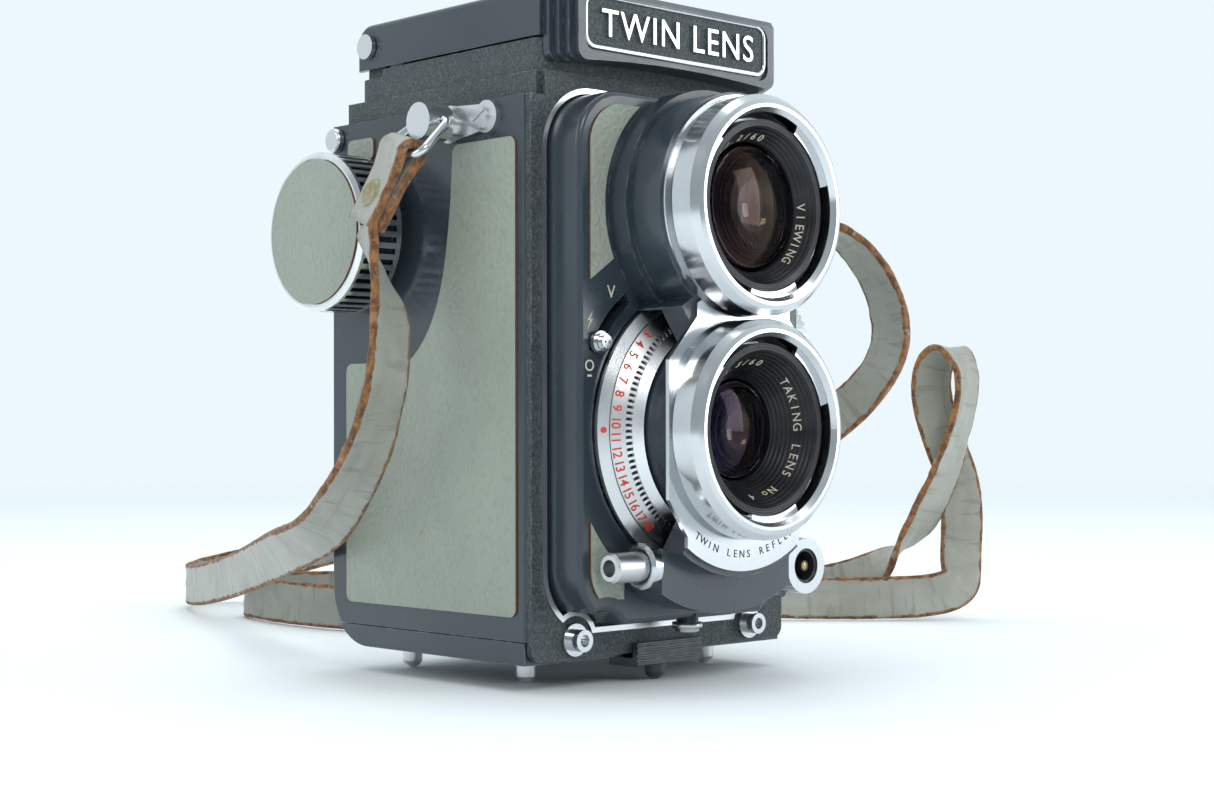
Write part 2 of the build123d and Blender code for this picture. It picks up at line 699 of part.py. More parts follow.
def hood_lid():
    """Lid with side skirts; it swings up about the rear pivots."""
    skirt_t = 1.2
    half = HOOD_HALF_W + 0.3
    with BuildPart() as lid:
        with BuildSketch(side_plane(-half)):
            with BuildLine():
                Polyline((HOOD_FRONT - 0.1, SKIRT), (HOOD_FRONT - 0.1, LID_TOP), (HOOD_BACK - 3.4, LID_TOP))
                RadiusArc((HOOD_BACK - 3.4, LID_TOP), (HOOD_BACK + 0.4, LID_TOP - 3.8), 3.8)
                Polyline((HOOD_BACK + 0.4, LID_TOP - 3.8), (HOOD_BACK + 0.4, SKIRT),
                         (HOOD_FRONT - 0.1, SKIRT))
            make_face()
        extrude(amount=2 * half)
        fillet(lid.edges().filter_by(Axis.Y).group_by(Axis.Z)[-1], 1.0)
        with BuildSketch(side_plane(-half + skirt_t)):
            with BuildLine():
                Polyline((HOOD_FRONT - 5, SKIRT - 2), (HOOD_FRONT - 5, LID_TOP - skirt_t),
                         (HOOD_BACK - 2.6, LID_TOP - skirt_t), (HOOD_BACK - 0.9, LID_TOP - 4.2),
                         (HOOD_BACK - 0.9, SKIRT - 2), close=True)
            make_face()
        extrude(amount=2 * (half - skirt_t), mode=Mode.SUBTRACT)
        with BuildSketch(side_plane(-half - 1)):
            with Locations((PIVOT_Y, PIVOT_Z)):
                Circle(1.25)
        extrude(amount=2 * half + 2, mode=Mode.SUBTRACT)
        # notches in the rear wall that pass the frame's ears
        for side in (-1, 1):
            with BuildSketch(side_plane(side * (HOOD_HALF_W - 3.0))):
                with Locations((HOOD_BACK, SKIRT + 3.4)):
                    Rectangle(4.0, 7.2)
            extrude(amount=side * (half - skirt_t - HOOD_HALF_W + 3.0), mode=Mode.SUBTRACT)
    return lid.part


def hood_nameplate():
    """Stepped block on the front of the lid with a raised rim round a plain recess."""
    back_y = HOOD_FRONT - 0.1
    low = BODY_TOP + 0.4
    steps = [(28.4, 1.5), (27.4, 1.5), (26.4, 1.5), (25.4, 1.4)]
    with BuildPart() as block:
        depth = 0.0
        for half, thickness in steps:
            with BuildSketch(front_plane(back_y - depth)):
                with BuildLine():
                    Polyline((-half, low + 1.2), (-half, LID_TOP), (half, LID_TOP), (half, low + 1.2))
                    ThreePointArc((half, low + 1.2), (0, low + 2.4), (-half, low + 1.2))
                make_face()
                fillet(vertices().group_by(Axis.Y)[0], 2.0)
            extrude(amount=thickness)
            depth += thickness
        chamfer(block.edges().filter_by(Axis.X).group_by(Axis.Z)[-1].group_by(Axis.Y)[0], 1.2)
        # rim: a sunk field with a raised edge
        with BuildSketch(front_plane(back_y - depth)):
            with Locations((0, (low + LID_TOP) / 2 + 0.6)):
                RectangleRounded(47.4, 10.2, 2.4)
        extrude(amount=-0.7, mode=Mode.SUBTRACT)
    return block.part


def side_flap(side):
    """Hood side wall folded flat, its front corner cut back to clear the front wall."""
    hinge_x, level = HOOD_HALF_W - 2.4, SKIRT + 0.2
    with BuildPart() as flap:
        with BuildSketch(Plane.XY.offset(level)):
            with BuildLine():
                Polyline((side * hinge_x, HOOD_FRONT + 4), (side * (hinge_x - 13), HOOD_FRONT + 18),
                         (side * (hinge_x - 23), HOOD_FRONT + 18), (side * (hinge_x - 23), HOOD_BACK - 16),
                         (side * hinge_x, HOOD_BACK - 9), close=True)
            make_face()
        extrude(amount=0.6)
        with BuildSketch(Plane(origin=(0, HOOD_FRONT + 6, 0), x_dir=(1, 0, 0), z_dir=(0, 1, 0))):
            with Locations((side * hinge_x, -(level + 0.1))):
                Circle(0.6)
        extrude(amount=HOOD_BACK - HOOD_FRONT - 17)
    return flap.part


def front_flap():
    """Hood front wall folded back over the side walls."""
    hinge_y, level = HOOD_FRONT + 3.2, SKIRT + 1.4
    with BuildPart() as flap:
        with BuildSketch(Plane.XY.offset(level)):
            with Locations((0, hinge_y + 6)):
                Rectangle(44, 12)
        extrude(amount=0.6)
        with BuildSketch(side_plane(-22)):
            with Locations((hinge_y, level + 0.3)):
                Circle(0.6)
        extrude(amount=44)
    return flap.part


def magnifier_arm():
    """Arm of the focusing magnifier, folded flat under the lid's top."""
    with BuildPart() as arm:
        with BuildSketch(Plane.XY.offset(LID_TOP - 1.2)):
            with Locations((0, 9)):
                RectangleRounded(25, 25, 5)
                Circle(10.0, mode=Mode.SUBTRACT)
            with Locations((0, -6)):
                Rectangle(16, 6)
        extrude(amount=-1.8)
    return arm.part


def magnifier_lens():
    radius, sag, apex = 9.9, 0.8, LID_TOP - 2.9
    with BuildPart() as lens:
        with BuildSketch(Plane(origin=(0, 9, 0), x_dir=(1, 0, 0), z_dir=(0, -1, 0))):
            with BuildLine():
                Polyline((0, apex), (0, LID_TOP - 1.3), (radius, LID_TOP - 1.3), (radius, apex + sag))
                ThreePointArc((radius, apex + sag), (radius / 2, apex + cap_middle(radius, sag)), (0, apex))
            make_face()
        revolve(axis=Axis((0, 9, 0), (0, 0, 1)))
    return lens.part


# ------------------------------------------------------------------ lens panel
def panel_outline(inset):
    """Outline of the lens panel with a notch over each front stud."""
    low, high = PANEL_BOTTOM + inset, PANEL_TOP - inset
    with BuildSketch(front_plane(FRONT)) as outline:
        with Locations((0, (low + high) / 2)):
            RectangleRounded(2 * (PANEL_HALF_W - inset), high - low, 10.0 - inset)
        for side in (-1, 1):
            with Locations((side * STUD_X, STUD_Z)):
                Circle(5.6 + inset, mode=Mode.SUBTRACT)
    return outline.sketch


def lens_panel():
    back = FRONT + 0.9
    boss_depth = FACE - BOSS
    with BuildPart() as panel:
        with BuildSketch(front_plane(back)):
            add(panel_outline(0.0))
        extrude(amount=back - FACE)
        fillet(panel.faces().sort_by(Axis.Y)[0].outer_wire().edges(), 1.0)
        # bosses: viewing lens in two steps, taking lens with its chin
        with BuildSketch(front_plane(FACE + 1)):
            with Locations((0, VIEW_Z)):
                Circle(21.6)
        extrude(amount=5.5)
        with BuildSketch(front_plane(FACE + 1)):
            with Locations((0, VIEW_Z)):
                Circle(20.4)
            with Locations((0, TAKE_Z)):
                Circle(CHIN_R)
            with BuildLine():
                Polyline((-13, TAKE_Z + 12), (-12, VIEW_Z - 12), (12, VIEW_Z - 12),
                         (13, TAKE_Z + 12), close=True)
            make_face()
        extrude(amount=boss_depth + 1)
        with BuildSketch(front_plane(FACE + 1)):
            with BuildLine():
                Polyline((-16.5, 17.5), (-16.5, 27.5), (-13.0, 31.0), (13.0, 31.0), (16.5, 27.5),
                         (16.5, 17.5))
                ThreePointArc((16.5, 17.5), (0, 13.4), (-16.5, 17.5))
            make_face()
        extrude(amount=9.0)
        # dial windows, left and right
        for middle in (180, 0):
            with BuildSketch(front_plane(FACE)):
                with Locations((0, TAKE_Z)):
                    Circle(CHIN_R + 0.4)
                with BuildLine():
                    Polyline(*sector(60, middle - WINDOW_HALF, middle + WINDOW_HALF), close=True)
                make_face(mode=Mode.INTERSECT)
                with Locations((0, TAKE_Z)):
                    Circle(BARREL_R, mode=Mode.SUBTRACT)
            extrude(amount=boss_depth + 1, mode=Mode.SUBTRACT)
        # ring groove that the dials turn in
        with BuildSketch(front_plane(FACE + 1.6)):
            with Locations((0, TAKE_Z)):
                Circle(DIAL_R + 0.35)
                Circle(BARREL_R, mode=Mode.SUBTRACT)
        extrude(amount=7.8, mode=Mode.SUBTRACT)
        # hollow back
        with BuildSketch(front_plane(back)):
            add(panel_outline(1.8))
        extrude(amount=4.4, mode=Mode.SUBTRACT)
        # lens bores
        with BuildSketch(front_plane(back)):
            with Locations((0, VIEW_Z), (0, TAKE_Z)):
                Circle(15.2)
        extrude(amount=40, mode=Mode.SUBTRACT)
        # slot of the flash selector
        with BuildSketch(front_plane(FACE)):
            with Locations((0, TAKE_Z)):
                Circle(29.7)
                Circle(27.5, mode=Mode.SUBTRACT)
            with BuildLine():
                Polyline(*sector(60, 126, 152), close=True)
            make_face(mode=Mode.INTERSECT)
        extrude(amount=-8, mode=Mode.SUBTRACT)
        # bore of the release, through the left wall of the chin
        for radius, depth in ((2.05, 14.0), (2.95, 6.9)):
            with BuildSketch(side_plane(-20)):
                with Locations((FACE - 4.4, 22.3)):
                    Circle(radius)
            extrude(amount=depth, mode=Mode.SUBTRACT)
        with BuildSketch(front_plane(FACE - 1)):
            with Locations((FLASH_X, FLASH_Z)):
                Circle(2.6)
        extrude(amount=-12, mode=Mode.SUBTRACT)
    return panel.part


def panel_leathers():
    """Four leather fillets on the panel's face, beside the bosses."""
    with BuildPart() as leathers:
        with BuildSketch(front_plane(FACE)):
            add(panel_outline(2.4))
            with Locations((0, VIEW_Z)):
                Circle(22.6, mode=Mode.SUBTRACT)
            with Locations((0, (32 + 71) / 2)):
                Rectangle(80, 71 - 32, mode=Mode.SUBTRACT)
            for side in (-1, 1):
                with BuildLine():
                    Polyline((side * 28, 70.7), (side * 17, 78.3), (side * 17, 60), (side * 28, 60), close=True)
                make_face(mode=Mode.SUBTRACT)
            with Locations((0, 15.0)):
                Rectangle(36.4, 40, mode=Mode.SUBTRACT)
            with Locations((0, PANEL_TOP)):
                Rectangle(16, 30, mode=Mode.SUBTRACT)
            with Locations((0, TAKE_Z)):
                Circle(30.6, mode=Mode.SUBTRACT)
            with Locations((FLASH_X, FLASH_Z)):
                Circle(6.4, mode=Mode.SUBTRACT)
            with Locations((0, PANEL_BOTTOM)):
                Rectangle(80, 9.0, mode=Mode.SUBTRACT)
        extrude(amount=0.35)
    return leathers.part


def lens_faceplate():
    """Bright figure-of-eight plate under the two bayonet rings."""
    with BuildPart() as plate:
        with BuildSketch(front_plane(BOSS)):
            with Locations((0, VIEW_Z)):
                Circle(19.9)
            with Locations((0, TAKE_Z)):
                Circle(25.0)
            for side in (-1, 1):
                with BuildLine():
                    Polyline((side * 14.5, TAKE_Z - 40), (side * 14.5, TAKE_Z - 18.5),
                             (side * 19.0, TAKE_Z - 12), (side * 19.0, TAKE_Z + 12),
                             (side * 12.0, TAKE_Z + 19.65), (side * 12.0, TAKE_Z + 26),
                             (side * 60, TAKE_Z + 26), (side * 60, TAKE_Z - 40), close=True)
                make_face(mode=Mode.SUBTRACT)
            with Locations((0, VIEW_Z)):
                Circle(18.9)
            with Locations((0, TAKE_Z)):
                Circle(17.4)
            with Locations((0, VIEW_Z), (0, TAKE_Z)):
                Circle(14.8, mode=Mode.SUBTRACT)
        extrude(amount=PLATE_T)
    return plate.part


def bayonet_rings():
    """Filter bayonet of each lens: outer ring with three inner ramps."""
    with BuildPart() as rings:
        for height in (TAKE_Z, VIEW_Z):
            with BuildSketch(Plane(origin=(0, 0, height), x_dir=(1, 0, 0), z_dir=(0, 0, 1))):
                with BuildLine():
                    Polyline((OPENING_R - 0.6, RING_BACK), (RING_R - 1.4, RING_BACK),
                             (RING_R, RING_BACK - 1.2), (RING_R, RING_FRONT + 1.6),
                             (RING_R - 1.0, RING_FRONT + 0.4), (RING_R - 1.8, RING_FRONT),
                             (OPENING_R + 0.9, RING_FRONT), (OPENING_R + 0.2, RING_FRONT + 1.0),
                             (OPENING_R + 0.2, RING_FRONT + 3.4),
                             (OPENING_R - 0.6, RING_FRONT + 4.2), close=True)
                make_face()
            revolve(axis=Axis((0, 0, height), (0, 1, 0)))
            with BuildSketch(front_plane(RING_FRONT + 1.9)):
                with Locations((0, height)):
                    Circle(OPENING_R + 1.2)
                    Circle(OPENING_R - 0.9, mode=Mode.SUBTRACT)
                for start in (60, 180, 300):
                    with BuildLine():
                        Polyline(*sector(60, start, start + 76, height), close=True)
                    make_face(mode=Mode.SUBTRACT)
            extrude(amount=-1.0)
    return rings.part


def lens_cell(height, seat_r, glass_r, throat):
    """Black conical lens mount, turned about a lens axis."""
    front = RING_FRONT + 2.2
    rear = FRONT + 3.0
    with BuildPart() as cell:
        with BuildSketch(Plane(origin=(0, 0, height), x_dir=(1, 0, 0), z_dir=(0, 0, 1))):
            with BuildLine():
                Polyline((seat_r, front), (seat_r, RING_BACK - RUN), (14.6, RING_BACK - RUN),
                         (14.6, FACE + 1.5), (glass_r + 2.4, FACE + 1.5), (glass_r + 2.4, rear),
                         (glass_r - 1.2, rear), (glass_r - 1.2, front + throat + 4.4),
                         (glass_r, front + throat + 4.4), (glass_r, front + throat),
                         (seat_r - 1.6, front + 0.6), (seat_r - 1.2, front), close=True)
            make_face()
        revolve(axis=Axis((0, 0, height), (0, 1, 0)))
    return cell.part


def lens_glass(height, glass_r, throat, sag):
    """Front element and cemented rear pair of one lens, as two separate solids."""
    front = RING_FRONT + 2.2 + throat
    edge = glass_r - RUN
    rear_r = glass_r - 1.2 - RUN
    rear = FACE + 0.5
    apex = front - sag + 0.9
    with BuildPart() as glass:
        with BuildSketch(Plane(origin=(0, 0, height), x_dir=(1, 0, 0), z_dir=(0, 0, 1))):
            with BuildLine():
                ThreePointArc((0, apex), (edge / 2, apex + cap_middle(edge, sag)), (edge, apex + sag))
                Polyline((edge, apex + sag), (edge, front + 4.35), (0, front + 4.35), (0, apex))
            make_face()
        revolve(axis=Axis((0, 0, height), (0, 1, 0)))
        with BuildSketch(Plane(origin=(0, 0, height), x_dir=(1, 0, 0), z_dir=(0, 0, 1))):
            with BuildLine():
                Polyline((0, rear + 3 + sag), (0, rear), (rear_r, rear), (rear_r, rear + 3))
                ThreePointArc((rear_r, rear + 3), (rear_r / 2, rear + 3 + sag - cap_middle(rear_r, sag)),
                              (0, rear + 3 + sag))
            make_face()
        revolve(axis=Axis((0, 0, height), (0, 1, 0)))
    return glass.part


def shutter_unit():
    """Leaf shutter housing round the taking lens mount, inside the panel's hollow back."""
    with BuildPart() as housing:
        with BuildSketch(front_plane(FRONT + 0.6)):
            with Locations((0, TAKE_Z)):
                Circle(23.0)
                Circle(14.75, mode=Mode.SUBTRACT)
            with Locations((0, VIEW_Z)):
                Circle(21.5, mode=Mode.SUBTRACT)
        extrude(amount=3.6)
    return housing.part


def exposure_dial(middle):
    """Sector-shaped scale ring that turns about the taking lens behind its window."""
    base = FACE + 1.2
    with BuildPart() as dial:
        with BuildSketch(Plane(origin=(0, 0, TAKE_Z), x_dir=(1, 0, 0), z_dir=(0, 0, 1))):
            with BuildLine():
                Polyline((DIAL_R, base), (DIAL_R, FACE - 1.0), (DIAL_R - 1.9, FACE - 2.1),
                         (DIAL_R - 2.2, FACE - 1.8), (DIAL_R - 4.4, FACE - 3.3),
                         (DIAL_R - 5.6, FACE - 4.0), (DIAL_BORE, FACE - 5.4), (DIAL_BORE, base), close=True)
            make_face()
        revolve(axis=Axis((0, 0, TAKE_Z), (0, 1, 0)))
        with BuildSketch(front_plane(base + 2)):
            with Locations((0, TAKE_Z)):
                Circle(40)
            for start in (middle + DIAL_HALF, middle + 180):
                with BuildLine():
                    Polyline(*sector(90, start, start + 180 - DIAL_HALF), close=True)
                make_face(mode=Mode.SUBTRACT)
        extrude(amount=12, mode=Mode.INTERSECT)
        # fine teeth along the inner edge of the numbers
        with BuildSketch(front_plane(FACE - 6)):
            for step in range(47):
                angle = middle - DIAL_HALF + 1.5 + step * 3.0
                with Locations(Location((*polar(DIAL_R - 5.0, angle), 0), (0, 0, angle))):
                    Rectangle(1.0, 0.5)
        extrude(amount=-2.5, mode=Mode.SUBTRACT)
    return dial.part


def selector_lever():
    """Flash selector: pin through the slot and its arm behind the panel face."""
    angle = 148.0
    with BuildPart() as lever:
        with BuildSketch(front_plane(FACE + 4.7)):
            with Locations((0, TAKE_Z)):
                Circle(30.2)
                Circle(27.0, mode=Mode.SUBTRACT)
            with BuildLine():
                Polyline(*sector(60, angle - 5, angle + 3), close=True)
            make_face(mode=Mode.INTERSECT)
        extrude(amount=-0.8)
        for radius, start, end in ((0.9, 4.8, -0.4), (2.0, -0.4, -1.2), (1.6, -1.2, -1.9),
                                   (1.2, -1.9, -2.6)):
            with BuildSketch(front_plane(FACE + start)):
                with Locations(polar(28.6, angle)):
                    Circle(radius)
            extrude(amount=start - end)
        with BuildSketch(front_plane(FACE - 2.6)):
            with Locations(polar(28.6, angle)):
                with GridLocations(1.0, 1.0, 2, 1):
                    Circle(0.25)
        extrude(amount=-0.8, mode=Mode.SUBTRACT)
    return lever.part


def release_collar():
    with BuildPart() as collar:
        with BuildSketch(side_plane(-16.6)):
            with Locations((FACE - 4.4, 22.3)):
                Circle(4.1)
                Circle(2.8, mode=Mode.SUBTRACT)
        extrude(amount=-2.2)
        chamfer(collar.edges().group_by(Axis.X)[0], 0.5)
    return collar.part


def release_button():
    """Shutter release plunger with a cable thread in its end."""
    with BuildPart() as button:
        with BuildSketch(side_plane(-16.9)):
            with Locations((FACE - 4.4, 22.3)):
                Circle(2.65)
        extrude(amount=-8.8)
        chamfer(button.edges().group_by(Axis.X)[0], 0.4)
        with BuildSketch(side_plane(-16.9)):
            with Locations((FACE - 4.4, 22.3)):
                Circle(2.0)
        extrude(amount=7.0)
        with BuildSketch(side_plane(-25.7)):
            with Locations((FACE - 4.4, 22.3)):
                Circle(1.5)
        extrude(amount=5.0, mode=Mode.SUBTRACT)
    return button.part


def flash_socket():
    """Flash contact: a cup with its centre pin."""
    with BuildPart() as socket:
        with BuildSketch(front_plane(FACE + 1.0)):
            with Locations((FLASH_X, FLASH_Z)):
                Circle(2.55)
        extrude(amount=1.0)
        with BuildSketch(front_plane(FACE)):
            with Locations((FLASH_X, FLASH_Z)):
                Circle(3.2)
        extrude(amount=7.0)
        with BuildSketch(front_plane(FACE - 7.0)):
            with Locations((FLASH_X, FLASH_Z)):
                Circle(2.7)
                Circle(1.0, mode=Mode.SUBTRACT)
        extrude(amount=-5.6, mode=Mode.SUBTRACT)
    return socket.part


def flash_lock_ring():
    """Toothed ring that locks a flash plug in the socket."""
    teeth = 30
    with BuildPart() as ring:
        with BuildSketch(front_plane(FACE - 0.6)):
            with Locations((FLASH_X, FLASH_Z)):
                Circle(5.2)
                Circle(3.2 + RUN, mode=Mode.SUBTRACT)
        extrude(amount=6.8)
        with BuildSketch(front_plane(FACE - 1.6)):
            with Locations((FLASH_X, FLASH_Z)):
                with PolarLocations(5.4, teeth):
                    RegularPolygon(0.5, 3)
        extrude(amount=7, mode=Mode.SUBTRACT)
    return ring.part


def front_studs():
    """Two hollow studs on the front cover, below the corners of the panel."""
    with BuildPart() as studs:
        for side in (-1, 1):
            with BuildSketch(front_plane(FRONT)):
                with Locations((side * STUD_X, STUD_Z)):
                    Circle(2.9)
            extrude(amount=0.7)
            with BuildSketch(front_plane(FRONT - 0.7)):
                with Locations((side * STUD_X, STUD_Z)):
                    Circle(1.95)
            extrude(amount=2.3)
            with BuildSketch(front_plane(FRONT - 3.0)):
                with Locations((side * STUD_X, STUD_Z)):
                    Circle(1.05)
            extrude(amount=-2.6, mode=Mode.SUBTRACT)
    return studs.part


# ------------------------------------------------------------------ strap and its fittings
def strap_lugs():
    """Each side: a pear-shaped plate, its slotted screw and the drilled post."""
    with BuildPart() as lugs:
        for side in (-1, 1):
            with BuildSketch(side_plane(side * HALF_W)):
                with BuildLine():
                    Polyline((LUG_Y - 10.6, LUG_Z + 2.6), (LUG_Y, LUG_Z + 3.2), (LUG_Y, LUG_Z - 3.2),
                             (LUG_Y - 10.6, LUG_Z - 1.8), close=True)
                make_face()
                with Locations((LUG_Y, LUG_Z)):
                    Circle(3.4)
                with Locations((LUG_Y - 10.0, LUG_Z + 0.4)):
                    Circle(2.9)
            extrude(amount=side * 1.1)
            with BuildSketch(side_plane(side * (HALF_W + 1.1))):
                with Locations((LUG_Y - 8.8, LUG_Z + 0.3)):
                    Circle(2.1)
            extrude(amount=side * 0.8)
            with BuildSketch(side_plane(side * (HALF_W + 1.9))):
                with Locations(Location((LUG_Y - 8.8, LUG_Z + 0.3, 0), (0, 0, 60))):
                    Rectangle(0.55, 5)
            extrude(amount=-side * 0.5, mode=Mode.SUBTRACT)
            with BuildSketch(side_plane(side * (HALF_W + 1.1))):
                with Locations((LUG_Y, LUG_Z)):
                    Circle(2.2)
            extrude(amount=side * 1.6)
            with BuildSketch(side_plane(side * (HALF_W + 2.7))):
                with Locations((LUG_Y, LUG_Z)):
                    Circle(3.3)
            extrude(amount=side * (POST_REACH - HALF_W - 2.7))
            with BuildSketch(Plane(origin=(0, LUG_Y - 6, 0), x_dir=(-1, 0, 0), z_dir=(0, 1, 0))):
                with Locations((-side * RING_PLANE_X, LUG_Z)):
                    Circle(WIRE_R + 0.1)
            extrude(amount=12, mode=Mode.SUBTRACT)
    return lugs.part


def unit(vector):
    return Vector(*vector).normalized()


def bar_middle(side):
    return Vector(side * 43.5, LUG_Y + 1.5, LUG_Z - 5.5)


def bar_direction(side):
    return unit((-side * 0.25, 0.93, 0.25))


def tab_direction(side):
    """Way the strap's folded end leaves the ring, square to the ring's bar."""
    lean = unit((-0.33, 0.2, -0.92)) if side < 0 else unit((0.80, 0.15, -0.58))
    bar = bar_direction(side)
    return (lean - bar * lean.dot(bar)).normalized()


def strap_ring(side):
    """Bent wire loop through the lug post."""
    bar, middle = bar_direction(side), bar_middle(side)
    axle = Vector(side * RING_PLANE_X, LUG_Y, LUG_Z)
    corners = [axle + Vector(0, 5.0, 0), middle + bar * 7.3, middle - bar * 7.3, axle - Vector(0, 5.0, 0)]
    with BuildPart() as ring:
        with BuildLine() as wire:
            FilletPolyline(*corners, radius=1.9, close=True)
        with BuildSketch(Plane(origin=wire.line @ 0, z_dir=wire.line % 0)):
            Circle(WIRE_R)
        sweep(path=wire.line)
    return ring.part


def strap_end(side):
    """End of the strap folded round the ring's bar, with the rivet through both plies."""
    bar, middle, down = bar_direction(side), bar_middle(side), tab_direction(side)
    eye = WIRE_R + 0.15
    length = 15.0
    plane = Plane(origin=middle - bar * (STRAP_W / 2), x_dir=down, z_dir=bar)
    ply = STRAP_T
    with BuildPart() as end:
        with BuildSketch(plane):
            Circle(eye + ply)
            with BuildLine():
                Polyline((0, -eye - ply), (length * 0.45, -ply - 0.02), (length, -ply), (length, 0),
                         (length - 2, ply), (length * 0.45, ply), (0, eye + ply), close=True)
            make_face()
            Circle(eye, mode=Mode.SUBTRACT)
        extrude(amount=STRAP_W)
    rivet_plane = Plane(origin=middle + down * 9.0, x_dir=bar, z_dir=down.cross(bar))
    with BuildPart() as rivet:
        with BuildSketch(rivet_plane.offset(-ply - 0.8)):
            Circle(2.4)
        extrude(amount=0.75)
        with BuildSketch(rivet_plane.offset(ply + 0.05)):
            Circle(2.4)
        extrude(amount=0.75)
        with BuildSketch(rivet_plane.offset(-ply - 0.4)):
            Circle(1.0)
        extrude(amount=2 * ply + 0.8)
    leather = end.part - rivet.part
    return Compound(children=[*leather.solids(), *rivet.part.solids()])


def strap_start(side):
    """Where the single strap meets its folded end."""
    return bar_middle(side) + tab_direction(side) * 15.0


# Route of the strap's middle line from the left ring to the right ring, with the direction
# of its width at each point.
LEFT_RUN = [
    ((-47.4, 6.6, 74), (0.62, 0.75, 0.2)), ((-46, 4.6, 65.5), (0.97, 0.2, 0)),
    ((-46.5, 5.4, 54), (0.98, 0.15, -0.05)), ((-46, 11, 42.7), (0.95, 0.1, -0.25)),
    ((-45, 20, 33.5), (0.9, 0.05, -0.4)), ((-41, 33, 26.5), (0.85, -0.1, -0.5)),
    ((-30, 60, 22), (0.6, -0.2, -0.75)), ((-14, 92, 17), (0.3, -0.1, -0.95)),
    ((-1, 126, 11), (0.1, 0, -1)), ((9, 155, 7), (0, 0, -1)),
]
FAR_RUN = [
    ((17, 173, 6.4), (0, 0, -1)), ((27, 181, 7), (0, 0, -1)), ((37, 178, 9), (0, 0, -1)),
    ((43, 166, 12), (0, 0, -1)), ((46, 146, 17), (0, 0, -1)), ((49, 122, 20), (0, 0, -1)),
    ((58, 96, 16), (0, 0, -1)), ((76, 70, 9), (0, 0, -1)), ((92, 50, 6), (0, 0, -1)),
    ((104, 38, 5.4), (0, 0, -1)), ((116, 26, 5.4), (0, 0, -1)), ((126, 16, 6), (0.1, -0.1, -1)),
    ((132, 13, 8.6), (0.5, -0.5, -0.7)), ((135, 16, 14), (0.72, -0.68, -0.15)),
    ((136, 16, 24), (0.73, -0.68, 0)), ((135.5, 16.5, 33), (0.73, -0.68, 0)),
    ((132.5, 19.5, 44), (0.73, -0.68, 0)), ((130.5, 21.5, 54), (0.8, -0.6, 0)),
    ((130, 20, 62), (0.88, -0.45, 0)), ((131, 15.6, 65.4), (0.95, -0.2, 0)),
    ((131.8, 12, 61), (0.97, 0.1, 0)), ((131.4, 11.4, 53), (0.96, 0.2, 0)),
    ((130, 13.4, 44), (0.95, 0.1, 0.1)), ((129, 17, 33), (0.9, -0.2, 0.2)),
    ((127, 23, 21), (0.8, -0.4, 0.4)), ((124, 33, 11), (0.4, -0.2, 0.9)),
    ((118, 48, 6), (0.05, 0, 1)), ((106, 69, 5.4), (0, 0, 1)), ((90, 91, 5.4), (0, 0, 1)),
    ((71, 110, 5.4), (0, 0, 1)), ((50, 125, 5.4), (0, 0, 1)), ((32, 138, 5.4), (0, 0, 1)),
    ((22, 145, 5.4), (0, 0, 1)), ((15, 143, 5.4), (0, 0, 1)), ((11.5, 134, 5.4), (0, 0, 1)),
    ((9, 115, 5.4), (0, 0, 1)), ((11, 94, 5.4), (0, 0, 1)), ((20, 77, 5.4), (0, 0, 1)),
    ((36, 65, 7), (0, 0.1, 1)), ((52, 54, 12), (0, 0.3, 1)),
]
RIGHT_RUN = [
    ((64, 42, 21), (-0.2, 0.5, 0.8)), ((70, 28, 33), (-0.3, 0.7, 0.6)), ((75, 12, 44), (-0.3, 0.85, 0.4)),
    ((81, 0, 54), (-0.1, 0.95, 0.2)), ((85, -4, 65), (0, 1, 0)), ((83, -2.5, 77), (0.05, 1, 0.05)),
    ((76, 1, 87), (0, 1, 0.1)), ((67, 5, 91.4), (-0.1, 0.97, 0.2)),
]


def smooth_route(points, parts=3):
    """Catmull-Rom through the points: a list of places and width directions."""
    places = [Vector(*place) for place, _ in points]
    widths = [Vector(*width) for _, width in points]
    result = []
    for i in range(len(points) - 1):
        window = [max(i - 1, 0), i, i + 1, min(i + 2, len(points) - 1)]
        for step in range(parts):
            t = step / parts
            weights = (-0.5 * t + t * t - 0.5 * t ** 3, 1 - 2.5 * t * t + 1.5 * t ** 3,
                       0.5 * t + 2 * t * t - 1.5 * t ** 3, -0.5 * t * t + 0.5 * t ** 3)
            place, width = Vector(0, 0, 0), Vector(0, 0, 0)
            for index, weight in zip(window, weights):
                place += places[index] * weight
                width += widths[index] * weight
            result.append((place, width.normalized()))
    result.append((places[-1], widths[-1].normalized()))
    return result


def as_point(vector):
    return (vector.X, vector.Y, vector.Z)


def strap_route():
    """Whole route with the strap's own ends."""
    first = (as_point(strap_start(-1)), as_point(bar_direction(-1)))
    last = (as_point(strap_start(1)), as_point(bar_direction(1)))
    return smooth_route([first, *LEFT_RUN, *FAR_RUN, *RIGHT_RUN, last])


def strap_piece(route, start_down=None, end_down=None):
    """One stretch of the flat strap, ruled through a section at each place."""
    sections = []
    for i, (place, width) in enumerate(route):
        ahead = route[min(i + 1, len(route) - 1)][0]
        behind = route[max(i - 1, 0)][0]
        along = (ahead - behind).normalized()
        if i == 0 and start_down is not None:
            along = start_down
        if i == len(route) - 1 and end_down is not None:
            along = end_down
        across = (width - along * width.dot(along)).normalized()
        plane = Plane(origin=place, x_dir=across, z_dir=along)
        with BuildSketch(plane) as section:
            Rectangle(STRAP_W, STRAP_T)
        sections.append(section.sketch.faces()[0])
    with BuildPart() as piece:
        loft(sections=sections, ruled=True)
    return piece.part


